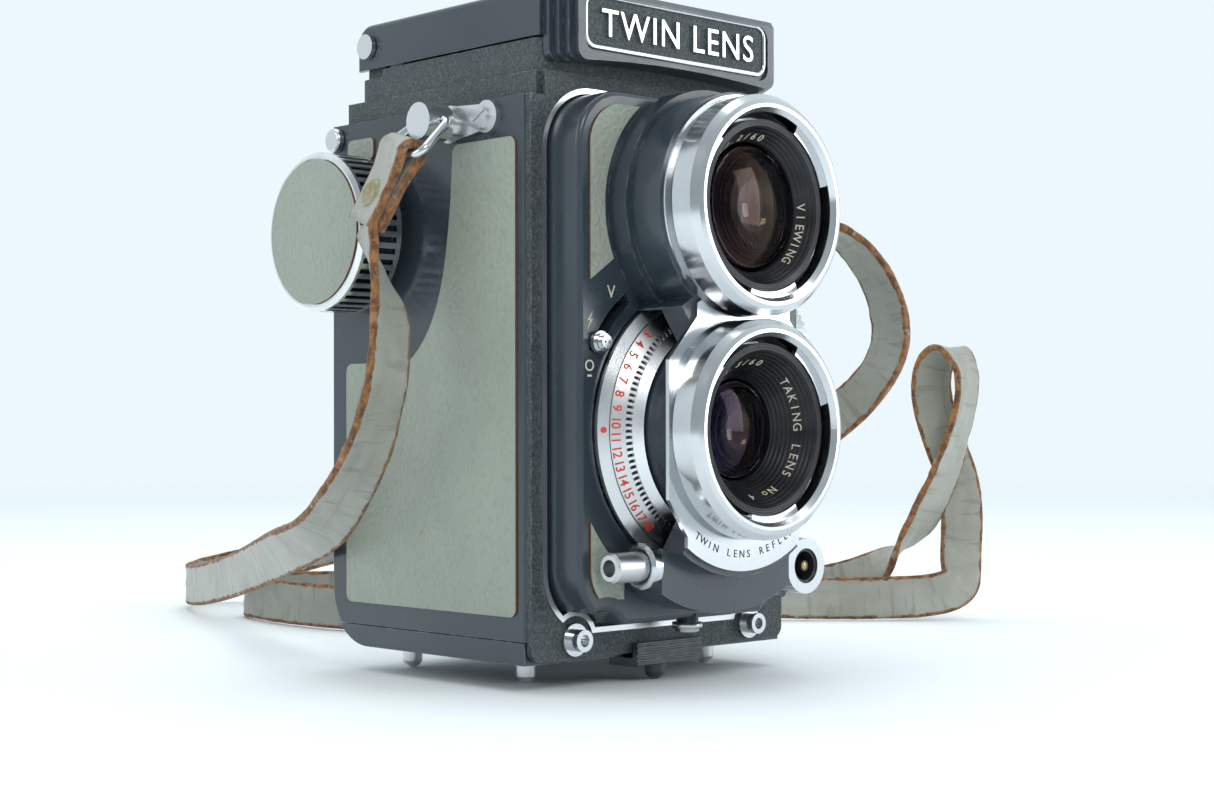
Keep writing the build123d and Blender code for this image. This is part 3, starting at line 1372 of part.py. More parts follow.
def strap_pieces():
    route = strap_route()
    left_end = 3 * len(LEFT_RUN)
    far_end = left_end + 3 * len(FAR_RUN)
    cuts = {"strap_left_run": route[:left_end + 1], "strap_far_run": route[left_end:far_end + 1],
            "strap_right_run": route[far_end:]}
    pieces = {}
    for name, stretch in cuts.items():
        start = tab_direction(-1) if name == "strap_left_run" else cut_direction(route, stretch[0])
        end = -tab_direction(1) if name == "strap_right_run" else cut_direction(route, stretch[-1])
        pieces[name] = strap_piece(stretch, start, end)
    return pieces


def cut_direction(route, section):
    """Direction of the whole route at one of its sections, so that stretches meet face to face."""
    index = route.index(section)
    return (route[index + 1][0] - route[index - 1][0]).normalized()


PIECES = {
    "body_casting": body_casting, "front_cover": front_cover, "front_trim": front_trim,
    "side_cover_left": lambda: side_cover(-1), "side_cover_right": lambda: side_cover(1),
    "side_leathers": side_leathers,
    "back_door": back_door, "back_leather": back_leather, "tripod_socket": tripod_socket,
    "base_feet": base_feet, "pressure_plate": pressure_plate, "pressure_springs": pressure_springs,
    "door_latch": door_latch, "door_hinge_pin": door_hinge_pin, "film_gate": film_gate,
    "film_rollers": film_rollers,
    "supply_spool": lambda: spool(SUPPLY_Y, SUPPLY_Z, SHAFT_R - 0.35, SHAFT_R + 0.1),
    "take_up_spool": lambda: spool(WIND_Y, WIND_Z, SHAFT_R, SHAFT_R + 0.1),
    "winding_knob": winding_knob, "winding_knob_leather": winding_knob_leather,
    "take_up_spool_knob": lambda: spool_knob(WIND_Y, WIND_Z),
    "supply_spool_knob": lambda: spool_knob(SUPPLY_Y, SUPPLY_Z),
    "focus_knob": focus_knob, "focus_cams": focus_cams, "mirror": mirror,
    "focusing_screen": focusing_screen, "hood_frame": hood_frame, "hood_pivots": hood_pivots,
    "hood_lid": hood_lid, "hood_nameplate": hood_nameplate,
    "side_flap_left": lambda: side_flap(-1), "side_flap_right": lambda: side_flap(1),
    "front_flap": front_flap, "magnifier_arm": magnifier_arm, "magnifier_lens": magnifier_lens,
    "lens_panel": lens_panel, "panel_leathers": panel_leathers, "lens_faceplate": lens_faceplate,
    "bayonet_rings": bayonet_rings,
    "viewing_lens_mount": lambda: lens_cell(VIEW_Z, 15.1, 11.6, 3.4),
    "taking_lens_mount": lambda: lens_cell(TAKE_Z, 15.1, 9.2, 7.0),
    "viewing_lens_glass": lambda: lens_glass(VIEW_Z, 11.6, 3.4, 2.2),
    "taking_lens_glass": lambda: lens_glass(TAKE_Z, 9.2, 7.0, 1.8),
    "shutter_unit": shutter_unit, "exposure_dial": lambda: exposure_dial(180),
    "shutter_speed_dial": lambda: exposure_dial(0), "selector_lever": selector_lever,
    "release_collar": release_collar, "release_button": release_button,
    "flash_socket": flash_socket, "flash_lock_ring": flash_lock_ring, "front_studs": front_studs,
    "strap_lugs": strap_lugs,
    "strap_ring_left": lambda: strap_ring(-1), "strap_ring_right": lambda: strap_ring(1),
    "strap_end_left": lambda: strap_end(-1), "strap_end_right": lambda: strap_end(1),
}

for piece_name, make in PIECES.items():
    save(piece_name, make())
for piece_name, piece in strap_pieces().items():
    save(piece_name, piece)
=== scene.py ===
"""Looks of the compact grey twin lens reflex camera and its leather neck strap.

Metres, +Z up, the lenses look along -Y. CAD pieces keep their shape and get a material;
the strap, its folded ends, the lens elements, lettering and scales are made here.
"""

import math

import bmesh
import bpy
from mathutils import Matrix, Vector, noise


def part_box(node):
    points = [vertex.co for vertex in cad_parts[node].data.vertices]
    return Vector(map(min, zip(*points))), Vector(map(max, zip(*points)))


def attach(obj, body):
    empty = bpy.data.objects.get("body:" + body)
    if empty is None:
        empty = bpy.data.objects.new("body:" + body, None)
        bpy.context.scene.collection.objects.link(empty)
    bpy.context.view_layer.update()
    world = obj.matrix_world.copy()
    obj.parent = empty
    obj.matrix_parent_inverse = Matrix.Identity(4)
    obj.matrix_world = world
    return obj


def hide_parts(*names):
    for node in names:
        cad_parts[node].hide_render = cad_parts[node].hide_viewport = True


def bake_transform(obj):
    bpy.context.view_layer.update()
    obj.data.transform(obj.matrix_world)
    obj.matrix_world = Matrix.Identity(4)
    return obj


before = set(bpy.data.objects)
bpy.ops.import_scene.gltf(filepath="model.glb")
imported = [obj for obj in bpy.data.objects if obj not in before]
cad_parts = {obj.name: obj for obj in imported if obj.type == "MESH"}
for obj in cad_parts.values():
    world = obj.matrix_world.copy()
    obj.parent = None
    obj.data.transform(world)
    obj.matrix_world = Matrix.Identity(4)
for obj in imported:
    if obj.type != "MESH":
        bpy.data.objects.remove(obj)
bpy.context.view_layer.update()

MM = 0.001


def measure(node, axis, high=False):
    """One face of a CAD node's box at rest."""
    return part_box(node)[1 if high else 0][axis]


# ---------------------------------------------------------------- places read from the frame
FRONT = measure("front_cover", 1)
TAKE_Z = (measure("taking_lens_mount", 2) + measure("taking_lens_mount", 2, True)) / 2
VIEW_Z = (measure("viewing_lens_mount", 2) + measure("viewing_lens_mount", 2, True)) / 2
RING_FRONT = measure("bayonet_rings", 1)
FACE = FRONT - 8.0 * MM
PLATE_FRONT = measure("lens_faceplate", 1)
WIND_Y = (measure("winding_knob", 1) + measure("winding_knob", 1, True)) / 2
WIND_Z = (measure("winding_knob", 2) + measure("winding_knob", 2, True)) / 2
WIND_R = (measure("winding_knob", 2, True) - measure("winding_knob", 2)) / 2
KNOB_FACE = -measure("winding_knob", 0)
DIAL_R = 25.2 * MM
NAMEPLATE_FRONT = measure("hood_nameplate", 1)


# ---------------------------------------------------------------- node helpers
def node(tree, kind, inputs=None, **settings):
    """A shader node with its settings and inputs; gives its first output."""
    made = tree.nodes.new(kind)
    for key, value in settings.items():
        setattr(made, key, value)
    for key, value in (inputs or {}).items():
        if isinstance(value, bpy.types.NodeSocket):
            tree.links.new(value, made.inputs[key])
        else:
            made.inputs[key].default_value = value
    return made.outputs[0]


def object_place(tree):
    return tree.nodes.new("ShaderNodeTexCoord").outputs["Object"]


def surface_normal(tree):
    return tree.nodes.new("ShaderNodeTexCoord").outputs["Normal"]


def cloud(tree, scale, detail=3.0, rough=0.55, vector=None):
    vector = vector or object_place(tree)
    return node(tree, "ShaderNodeTexNoise",
                {"Vector": vector, "Scale": scale, "Detail": detail, "Roughness": rough})


def cells(tree, scale, feature="F1"):
    return node(tree, "ShaderNodeTexVoronoi", {"Vector": object_place(tree), "Scale": scale},
                feature=feature)


def sums(tree, operation, first, second=0.0):
    return node(tree, "ShaderNodeMath", {0: first, 1: second}, operation=operation)


def fade(tree, value, low, high, out_low=0.0, out_high=1.0):
    """Smooth step of a value from low to high."""
    return node(tree, "ShaderNodeMapRange",
                {"Value": value, "From Min": low, "From Max": high, "To Min": out_low,
                 "To Max": out_high}, interpolation_type="SMOOTHSTEP")


def blend_colours(tree, factor, first, second):
    made = tree.nodes.new("ShaderNodeMix")
    made.data_type = "RGBA"
    for index, value in ((0, factor), (6, first), (7, second)):
        if isinstance(value, bpy.types.NodeSocket):
            tree.links.new(value, made.inputs[index])
        elif index:
            made.inputs[index].default_value = (*value, 1)
        else:
            made.inputs[index].default_value = value
    return made.outputs[2]


def relief(tree, height, distance, strength):
    """Bump from a height, which is a share of distance."""
    return node(tree, "ShaderNodeBump", {"Height": height, "Distance": distance, "Strength": strength})


def axis_distance(tree, centre, flat=(1, 0, 1)):
    """Distance from a line through centre along the axis that flat leaves out."""
    shifted = node(tree, "ShaderNodeVectorMath", {0: object_place(tree), 1: centre}, operation="SUBTRACT")
    flattened = node(tree, "ShaderNodeVectorMath", {0: shifted, 1: flat}, operation="MULTIPLY")
    made = tree.nodes.new("ShaderNodeVectorMath")
    made.operation = "LENGTH"
    tree.links.new(flattened, made.inputs[0])
    return made.outputs["Value"]


def component(tree, vector, axis):
    made = tree.nodes.new("ShaderNodeSeparateXYZ")
    tree.links.new(vector, made.inputs[0])
    return made.outputs[axis]


def worn_edges(tree, radius):
    """1 on outer edges, broken up by noise."""
    rounded = node(tree, "ShaderNodeBevel", {"Radius": radius}, samples=4)
    flat = tree.nodes.new("ShaderNodeNewGeometry").outputs["Normal"]
    made = tree.nodes.new("ShaderNodeVectorMath")
    made.operation = "DOT_PRODUCT"
    tree.links.new(rounded, made.inputs[0])
    tree.links.new(flat, made.inputs[1])
    edge = fade(tree, made.outputs["Value"], 0.99, 0.82)
    broken = fade(tree, cloud(tree, 420, 4), 0.46, 0.62)
    return sums(tree, "MULTIPLY", edge, broken)


def material(name, roughness=0.5, metallic=0.0, **sockets):
    """A material with its Principled shader; sockets are set on the shader itself."""
    made = bpy.data.materials.new(name)
    made.use_nodes = True
    tree = made.node_tree
    shader = tree.nodes["Principled BSDF"]
    shader.inputs["Roughness"].default_value = roughness
    shader.inputs["Metallic"].default_value = metallic
    for key, value in sockets.items():
        shader.inputs[key.replace("_", " ")].default_value = value
    return made, tree, shader


def wire_up(tree, shader, colour=None, roughness=None, normal=None, metallic=None):
    for key, value in (("Base Color", colour), ("Roughness", roughness), ("Normal", normal),
                       ("Metallic", metallic)):
        if value is not None:
            tree.links.new(value, shader.inputs[key])


# ---------------------------------------------------------------- materials
def enamel(name, dark, light):
    """Glossy paint with dust specks, smudges and edges worn to a lighter grey."""
    made, tree, shader = material(name, Coat_Weight=0.35, Coat_Roughness=0.12)
    wash = fade(tree, cloud(tree, 24, 4), 0.3, 0.7)
    colour = blend_colours(tree, wash, dark, light)
    dust = fade(tree, cells(tree, 900), 0.055, 0.03)
    rare = fade(tree, cloud(tree, 190, 2), 0.6, 0.7)
    specks = sums(tree, "MULTIPLY", dust, rare)
    colour = blend_colours(tree, sums(tree, "MULTIPLY", specks, 0.5), colour, (0.42, 0.44, 0.45))
    colour = blend_colours(tree, sums(tree, "MULTIPLY", worn_edges(tree, 0.35 * MM), 0.55), colour,
                           (0.30, 0.32, 0.33))
    smudge = fade(tree, cloud(tree, 60, 5, 0.6), 0.3, 0.72, 0.24, 0.40)
    peel = relief(tree, cloud(tree, 1100, 2), 0.05 * MM, 0.25)
    wire_up(tree, shader, colour, smudge, peel)
    return made


def crinkle(name, dark, light):
    """Dark wrinkled paint with painted shade in its hollows and painted highlights on its crests, whose
    edges are worn lighter.
    """
    made, tree, shader = material(name, 0.5)
    wrinkles = cloud(tree, 1500, 5, 0.72)
    pits = cells(tree, 2300)
    height = sums(tree, "ADD", wrinkles, sums(tree, "MULTIPLY", pits, 0.7))
    # painted shade and painted highlight: low wrinkles and pits are darker, crests lighter
    colour = blend_colours(tree, fade(tree, height, 0.6, 1.25), dark, light)
    colour = blend_colours(tree, sums(tree, "MULTIPLY", worn_edges(tree, 0.3 * MM), 0.6), colour,
                           (0.36, 0.38, 0.38))
    shine = fade(tree, cloud(tree, 45, 3), 0.3, 0.7, 0.36, 0.52)
    wire_up(tree, shader, colour, shine, relief(tree, height, 0.22 * MM, 0.7))
    return made


RAW_EDGE = (0.20, 0.062, 0.018)


def leather(name, dark, light, out_axis):
    """Pebble grained leather with painted shade in the grain's valleys; faces that don't look along
    out_axis show its raw edge.
    """
    made, tree, shader = material(name, 0.5, Sheen_Weight=0.12, Sheen_Roughness=0.5)
    warp = cloud(tree, 300, 2)
    pebbles = cells(tree, 1150, "SMOOTH_F1")
    fine = cloud(tree, 2600, 4, 0.6)
    folds = cloud(tree, 240, 3, 0.6)
    height = sums(tree, "ADD", sums(tree, "MULTIPLY", pebbles, -1.0), sums(tree, "MULTIPLY", fine, 0.35))
    height = sums(tree, "ADD", height, sums(tree, "MULTIPLY", folds, 0.8))
    colour = blend_colours(tree, fade(tree, cloud(tree, 36, 5, 0.6), 0.3, 0.7), dark, light)
    # painted shade: the grain's valleys are darkened toward a darker copy of the leather colour
    valleys = fade(tree, pebbles, 0.42, 0.78)
    painted_valley_shade = sums(tree, "MULTIPLY", valleys, 0.16)
    colour = blend_colours(tree, painted_valley_shade, colour, tuple(c * 0.55 for c in dark))
    spots = sums(tree, "MULTIPLY", fade(tree, cells(tree, 130), 0.10, 0.04), fade(tree, warp, 0.52, 0.6))
    colour = blend_colours(tree, sums(tree, "MULTIPLY", spots, 0.55), colour, (0.42, 0.13, 0.03))
    outward = sums(tree, "ABSOLUTE", component(tree, surface_normal(tree), out_axis))
    colour = blend_colours(tree, fade(tree, outward, 0.8, 0.6), colour, RAW_EDGE)
    rough = fade(tree, cloud(tree, 90, 3), 0.3, 0.7, 0.42, 0.6)
    wire_up(tree, shader, colour, rough, relief(tree, height, 0.34 * MM, 0.8))
    return made


def plating(name, tint=(0.80, 0.81, 0.82), low=0.08, high=0.22, grain=0.0, grain_axis=0, pits=0.35):
    """Chrome or aluminium with a faint brushed grain, hazy patches and small pits."""
    made, tree, shader = material(name, low, 1.0)
    haze = cloud(tree, 55, 5, 0.62)
    rough = fade(tree, haze, 0.3, 0.75, low, high)
    spots = fade(tree, cells(tree, 620), 0.09, 0.03)
    patch = fade(tree, cloud(tree, 120, 3), 0.56, 0.66)
    tarnish = sums(tree, "MULTIPLY", sums(tree, "MULTIPLY", spots, patch), pits)
    colour = blend_colours(tree, fade(tree, haze, 0.35, 0.7), tint, tuple(c * 0.88 for c in tint))
    colour = blend_colours(tree, tarnish, colour, (0.20, 0.18, 0.15))
    stretch = [1.0, 1.0, 1.0]
    stretch[grain_axis] = 0.04
    drawn = node(tree, "ShaderNodeVectorMath", {0: object_place(tree), 1: tuple(stretch)},
                 operation="MULTIPLY")
    lines = cloud(tree, 5200, 3, 0.6, drawn)
    micro = cloud(tree, 2600, 2)
    height = sums(tree, "ADD", sums(tree, "MULTIPLY", lines, grain), sums(tree, "MULTIPLY", micro, 0.25))
    wire_up(tree, shader, colour, rough, relief(tree, height, 0.02 * MM, 0.35))
    return made


def knob_chrome(name, centre, slot_radius, face_x):
    """Chrome rim whose milled slots are painted black at their floors as painted shade."""
    made, tree, shader = material(name, 0.14, 1.0)
    radius = axis_distance(tree, centre, (0, 1, 1))
    deep = fade(tree, radius, slot_radius - 0.12 * MM, slot_radius - 0.22 * MM)
    along = component(tree, object_place(tree), 0)
    behind_face = fade(tree, along, -face_x + 0.7 * MM, -face_x + 1.0 * MM)
    clear_of_back = fade(tree, along, -face_x + 9.0 * MM, -face_x + 8.6 * MM)
    # painted shade: the slot floors inside the rim, behind the face and clear of the back, are painted
    # black and not metal
    black = sums(tree, "MULTIPLY", sums(tree, "MULTIPLY", deep, behind_face), clear_of_back)
    grime = fade(tree, cloud(tree, 300, 4), 0.45, 0.7)
    colour = blend_colours(tree, sums(tree, "MULTIPLY", grime, 0.2), (0.80, 0.81, 0.82), (0.35, 0.33, 0.29))
    colour = blend_colours(tree, black, colour, (0.012, 0.012, 0.014))
    metal = sums(tree, "SUBTRACT", 1.0, black)
    rough = fade(tree, cloud(tree, 90, 3), 0.3, 0.7, 0.1, 0.24)
    wire_up(tree, shader, colour, rough, relief(tree, cloud(tree, 2400, 2), 0.02 * MM, 0.3), metal)
    return made


def dial_finish(name):
    """Scale ring: satin outer band, black groove, pearly number band, black teeth, bright cone."""
    made, tree, shader = material(name, 0.3, 1.0)
    radius = axis_distance(tree, (0, 0, TAKE_Z))
    normal = relief(tree, cloud(tree, 2400, 3), 0.02 * MM, 0.5)
    colour = blend_colours(tree, fade(tree, radius, DIAL_R - 4.6 * MM, DIAL_R - 4.5 * MM),
                           (0.80, 0.81, 0.83), (0.66, 0.68, 0.69))
    groove_in = fade(tree, radius, DIAL_R - 2.28 * MM, DIAL_R - 2.2 * MM)
    groove_out = fade(tree, radius, DIAL_R - 1.75 * MM, DIAL_R - 1.85 * MM)
    groove = sums(tree, "MULTIPLY", groove_in, groove_out)
    colour = blend_colours(tree, groove, colour, (0.02, 0.02, 0.02))
    teeth_in = fade(tree, radius, DIAL_R - 5.55 * MM, DIAL_R - 5.45 * MM)
    teeth_out = fade(tree, radius, DIAL_R - 4.45 * MM, DIAL_R - 4.55 * MM)
    turned = node(tree, "ShaderNodeVectorMath", {0: object_place(tree), 1: (0, 0, TAKE_Z)},
                  operation="SUBTRACT")
    angle = sums(tree, "ARCTAN2", component(tree, turned, 2), component(tree, turned, 0))
    wave = sums(tree, "SINE", sums(tree, "MULTIPLY", angle, 120.0))
    teeth = sums(tree, "MULTIPLY", sums(tree, "MULTIPLY", teeth_in, teeth_out), fade(tree, wave, -0.1, 0.3))
    colour = blend_colours(tree, teeth, colour, (0.02, 0.02, 0.02))
    dark = sums(tree, "MAXIMUM", groove, teeth)
    haze = fade(tree, cloud(tree, 80, 4), 0.3, 0.7, 0.2, 0.34)
    wire_up(tree, shader, colour, haze, normal, sums(tree, "SUBTRACT", 1.0, dark))
    return made


def anodised(name, centre):
    """Black turned metal with fine concentric tool lines."""
    made, tree, shader = material(name, 0.32, 0.4)
    radius = axis_distance(tree, centre)
    lines = sums(tree, "SINE", sums(tree, "MULTIPLY", radius, 2 * math.pi / (0.45 * MM)))
    colour = blend_colours(tree, fade(tree, cloud(tree, 130, 4), 0.35, 0.7), (0.010, 0.010, 0.012),
                           (0.028, 0.028, 0.031))
    dust = sums(tree, "MULTIPLY", fade(tree, cells(tree, 1500), 0.06, 0.03),
                fade(tree, cloud(tree, 260, 2), 0.54, 0.62))
    colour = blend_colours(tree, sums(tree, "MULTIPLY", dust, 0.6), colour, (0.4, 0.4, 0.4))
    wire_up(tree, shader, colour, fade(tree, cloud(tree, 200, 3), 0.3, 0.7, 0.26, 0.42),
            relief(tree, lines, 0.03 * MM, 0.5))
    return made


def coated_glass(name, tint, film):
    """Clear glass with a thin coating, film nanometres thick, and faint smears."""
    made, tree, shader = material(name, 0.015, Transmission_Weight=1.0, IOR=1.62,
                                  Thin_Film_Thickness=film, Thin_Film_IOR=1.38)
    smear = fade(tree, cloud(tree, 110, 4), 0.5, 0.8, 0.01, 0.035)
    deeper = tuple(c * 0.94 for c in tint)
    colour = blend_colours(tree, fade(tree, cloud(tree, 70, 2), 0.3, 0.7), tint, deeper)
    wire_up(tree, shader, colour, smear, relief(tree, cloud(tree, 120, 1), 0.001 * MM, 0.05))
    return made


def plain_finish(name, dark, light, rough, metallic=0.0, grain=900, depth=0.03, **sockets):
    """Small or inner surface: two tones of one colour, uneven gloss and a fine grain."""
    made, tree, shader = material(name, rough, metallic, **sockets)
    colour = blend_colours(tree, fade(tree, cloud(tree, 70, 4), 0.3, 0.7), dark, light)
    gloss = fade(tree, cloud(tree, 160, 3), 0.3, 0.7, max(rough - 0.07, 0.02), rough + 0.08)
    wire_up(tree, shader, colour, gloss, relief(tree, cloud(tree, grain, 4), depth * MM, 0.6))
    return made


def strap_leather(name):
    """Smooth worn grey face, transverse creases, and raw orange-brown edges with nap."""
    made, tree, shader = material(name, 0.5, Sheen_Weight=0.2, Sheen_Roughness=0.5)
    flat = node(tree, "ShaderNodeUVMap", uv_map="strap")
    edge = tree.nodes.new("ShaderNodeAttribute")
    edge.attribute_name = "edge"
    stretched = node(tree, "ShaderNodeVectorMath", {0: flat, 1: (420, 60, 1)}, operation="MULTIPLY")
    creases = cloud(tree, 1.0, 4, 0.62, stretched)
    long_wise = node(tree, "ShaderNodeVectorMath", {0: flat, 1: (26, 520, 1)}, operation="MULTIPLY")
    scuffs = cloud(tree, 1.0, 5, 0.65, long_wise)
    fine = cloud(tree, 2400, 3)
    colour = blend_colours(tree, fade(tree, cloud(tree, 42, 5, 0.6), 0.3, 0.7), (0.31, 0.31, 0.265),
                           (0.41, 0.415, 0.365))
    colour = blend_colours(tree, fade(tree, creases, 0.47, 0.36, 0, 0.45), colour, (0.20, 0.185, 0.15))
    colour = blend_colours(tree, fade(tree, scuffs, 0.56, 0.72, 0, 0.3), colour, (0.24, 0.17, 0.10))
    ragged = sums(tree, "ADD", edge.outputs["Fac"],
                  sums(tree, "MULTIPLY", sums(tree, "SUBTRACT", cloud(tree, 420, 4), 0.5), 0.36))
    raw = fade(tree, ragged, 0.90, 0.98)
    nap = cloud(tree, 3800, 4, 0.7)
    brown = blend_colours(tree, fade(tree, cloud(tree, 520, 4), 0.35, 0.68), (0.115, 0.042, 0.016),
                          (0.40, 0.17, 0.052))
    brown = blend_colours(tree, fade(tree, nap, 0.5, 0.72, 0, 0.5), brown, (0.62, 0.36, 0.15))
    colour = blend_colours(tree, raw, colour, brown)
    rough = fade(tree, raw, 0.0, 1.0, 0.46, 0.92)
    height = sums(tree, "ADD", sums(tree, "MULTIPLY", creases, 1.2), sums(tree, "MULTIPLY", fine, 0.25))
    height = sums(tree, "ADD", height, sums(tree, "MULTIPLY", sums(tree, "MULTIPLY", nap, raw), 2.0))
    wire_up(tree, shader, colour, rough, relief(tree, height, 0.22 * MM, 0.7))
    return made


GLOSS = enamel("gloss_enamel", (0.023, 0.034, 0.045), (0.034, 0.047, 0.060))
CRINKLE = crinkle("crinkle_enamel", (0.026, 0.034, 0.036), (0.085, 0.105, 0.105))
LEATHER_DARK, LEATHER_LIGHT = (0.285, 0.320, 0.262), (0.330, 0.368, 0.305)
SIDE_LEATHER = leather("side_leather", LEATHER_DARK, LEATHER_LIGHT, 0)
FLAT_LEATHER = leather("panel_leather", LEATHER_DARK, LEATHER_LIGHT, 1)
STRAP = strap_leather("strap_leather")
CHROME = plating("polished_chrome", (0.68, 0.70, 0.72), 0.12, 0.24)
SATIN = plating("satin_chrome", (0.72, 0.73, 0.74), 0.2, 0.36, 1.0, 0)
ALUMINIUM = plating("satin_aluminium", (0.76, 0.77, 0.78), 0.24, 0.38, 0.6, 2, 0.2)
STEEL = plating("brushed_steel", (0.52, 0.52, 0.53), 0.28, 0.42, 1.2, 0)
KNOB = knob_chrome("slotted_chrome", (0, WIND_Y, WIND_Z), WIND_R, KNOB_FACE)
DIAL = dial_finish("dial_finish")
VIEW_BLACK = anodised("anodised_viewing", (0, 0, VIEW_Z))
TAKE_BLACK = anodised("anodised_taking", (0, 0, TAKE_Z))
MATT_BLACK = plain_finish("matt_black", (0.008, 0.008, 0.009), (0.02, 0.02, 0.021), 0.72)
BLACK_PLASTIC = plain_finish("black_plastic", (0.016, 0.016, 0.017), (0.03, 0.03, 0.03), 0.45)
BLACK_PAINT = plain_finish("black_engraving_paint", (0.012, 0.012, 0.013), (0.03, 0.03, 0.03), 0.5)
RED_PAINT = plain_finish("red_engraving_paint", (0.55, 0.030, 0.012), (0.72, 0.060, 0.022), 0.45)
CREAM_PAINT = plain_finish("cream_engraving_paint", (0.56, 0.50, 0.36), (0.74, 0.70, 0.56), 0.5)
BRASS = plain_finish("worn_brass", (0.42, 0.28, 0.10), (0.66, 0.48, 0.21), 0.3, 1.0)
PATINA = plain_finish("rivet_patina", (0.26, 0.24, 0.13), (0.46, 0.42, 0.27), 0.42, 0.75, 600, 0.08)
MIRROR = plain_finish("silvered_mirror", (0.86, 0.87, 0.88), (0.9, 0.91, 0.91), 0.03, 1.0, 200, 0.002)
GROUND = plain_finish("ground_glass", (0.72, 0.75, 0.73), (0.8, 0.82, 0.8), 0.5, 0.0, 3000, 0.02,
                      Transmission_Weight=0.6)
CLEAR = coated_glass("magnifier_glass", (0.96, 0.97, 0.97), 0.0)
VIEW_GLASS = coated_glass("viewing_glass", (0.90, 0.86, 0.95), 100.0)
TAKE_GLASS = coated_glass("taking_glass", (0.88, 0.84, 0.95), 112.0)
# painted shade: the inner element is opaque dark purple, standing in for the dark inside of the lens, with
# the coating's purple reflection painted in
INNER_GLASS_PAINTED_DARK = plain_finish("inner_glass_painted_dark", (0.020, 0.012, 0.045), (0.035, 0.022, 0.075), 0.05, 0.0,
                           200, 0.004, Coat_Weight=1.0, Coat_Roughness=0.03, Specular_IOR_Level=0.9)

FINISHES = {
    GLOSS: ["side_cover_left", "side_cover_right", "back_door", "hood_lid", "lens_panel",
            "hood_nameplate", "door_latch"],
    CRINKLE: ["body_casting", "front_cover", "hood_frame"],
    SIDE_LEATHER: ["side_leathers", "winding_knob_leather"],
    FLAT_LEATHER: ["back_leather", "panel_leathers"],
    CHROME: ["lens_faceplate", "bayonet_rings", "hood_pivots", "strap_ring_left",
             "strap_ring_right", "release_collar", "front_studs", "flash_lock_ring", "selector_lever"],
    SATIN: ["base_feet", "strap_lugs", "door_hinge_pin", "release_button", "focus_knob",
            "take_up_spool_knob", "supply_spool_knob", "tripod_socket"],
    ALUMINIUM: ["front_trim"],
    STEEL: ["pressure_springs", "film_rollers", "focus_cams"],
    KNOB: ["winding_knob"],
    DIAL: ["exposure_dial", "shutter_speed_dial"],
    VIEW_BLACK: ["viewing_lens_mount"],
    TAKE_BLACK: ["taking_lens_mount"],
    MATT_BLACK: ["film_gate", "pressure_plate", "side_flap_left", "side_flap_right", "front_flap",
                 "magnifier_arm", "shutter_unit"],
    BLACK_PLASTIC: ["supply_spool", "take_up_spool", "flash_socket"],
    MIRROR: ["mirror"],
    GROUND: ["focusing_screen"],
    CLEAR: ["magnifier_lens"],
}


def finish_cad_nodes():
    for look, names in FINISHES.items():
        for name in names:
            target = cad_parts[name]
            target.data.materials.clear()
            target.data.materials.append(look)


# ---------------------------------------------------------------- mesh helpers
def new_piece(name, vertices, faces, look, smooth=True):
    mesh = bpy.data.meshes.new(name)
    mesh.from_pydata([tuple(v) for v in vertices], [], faces)
    mesh.materials.append(look)
    mesh.polygons.foreach_set("use_smooth", [smooth] * len(mesh.polygons))
    mesh.validate()
    mesh.update()
    piece = bpy.data.objects.new(name, mesh)
    bpy.context.scene.collection.objects.link(piece)
    return piece


def turned_piece(name, profile, centre, look, steps=96):
    """Closed profile of (radius, y) points turned about the line along Y through centre (x, z)."""
    vertices, faces = [], []
    count = len(profile)
    for step in range(steps):
        angle = 2 * math.pi * step / steps
        for radius, y in profile:
            vertices.append((centre[0] + radius * math.cos(angle), y, centre[1] + radius * math.sin(angle)))
    for step in range(steps):
        for i in range(count):
            a = step * count + i
            b = step * count + (i + 1) % count
            c = ((step + 1) % steps) * count + (i + 1) % count
            d = ((step + 1) % steps) * count + i
            faces.append((a, d, c, b))
    piece = new_piece(name, vertices, faces, look)
    weld(piece)
    return piece


WELD_GAP = 0.001 * MM


def weld(piece):
    """Joins the points that meet on the axis of a turned piece, and makes its faces look out."""
    work = bmesh.new()
    work.from_mesh(piece.data)
    bmesh.ops.remove_doubles(work, verts=work.verts, dist=WELD_GAP)
    bmesh.ops.dissolve_degenerate(work, edges=work.edges, dist=WELD_GAP)
    bmesh.ops.recalc_face_normals(work, faces=work.faces)
    work.to_mesh(piece.data)
    work.free()


def text_mesh(words, size, depth, spacing=1.0, bevel=0.0, weight=0.0):
    """Mesh of some lettering, centred on x, its base on y = 0, raised along +z."""
    curve = bpy.data.curves.new("lettering", "FONT")
    curve.body = words
    curve.size = size
    curve.extrude = depth / 2
    curve.bevel_depth = bevel
    curve.bevel_resolution = 1
    curve.offset = weight
    curve.space_character = spacing
    curve.align_x = "CENTER"
    curve.resolution_u = 4
    holder = bpy.data.objects.new("lettering", curve)
    bpy.context.scene.collection.objects.link(holder)
    bpy.context.view_layer.update()
    mesh = bpy.data.meshes.new_from_object(holder.evaluated_get(bpy.context.evaluated_depsgraph_get()))
    bpy.data.objects.remove(holder)
    return mesh


def joined(name, parts, look, body):
    """One piece from (mesh, matrix) parts."""
    vertices, faces = [], []
    for mesh, matrix in parts:
        start = len(vertices)
        vertices += [matrix @ v.co for v in mesh.vertices]
        faces += [tuple(start + i for i in p.vertices) for p in mesh.polygons]
    piece = new_piece(name, vertices, faces, look, smooth=False)
    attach(piece, body)
    return piece


def on_front(x, z, y, turn=0.0):
    """Matrix that lays lettering on a plane facing -Y, turned about its own middle."""
    basis = Matrix(((1, 0, 0), (0, 0, -1), (0, 1, 0))).to_4x4()
    return Matrix.Translation((x, y, z)) @ basis @ Matrix.Rotation(turn, 4, "Z")


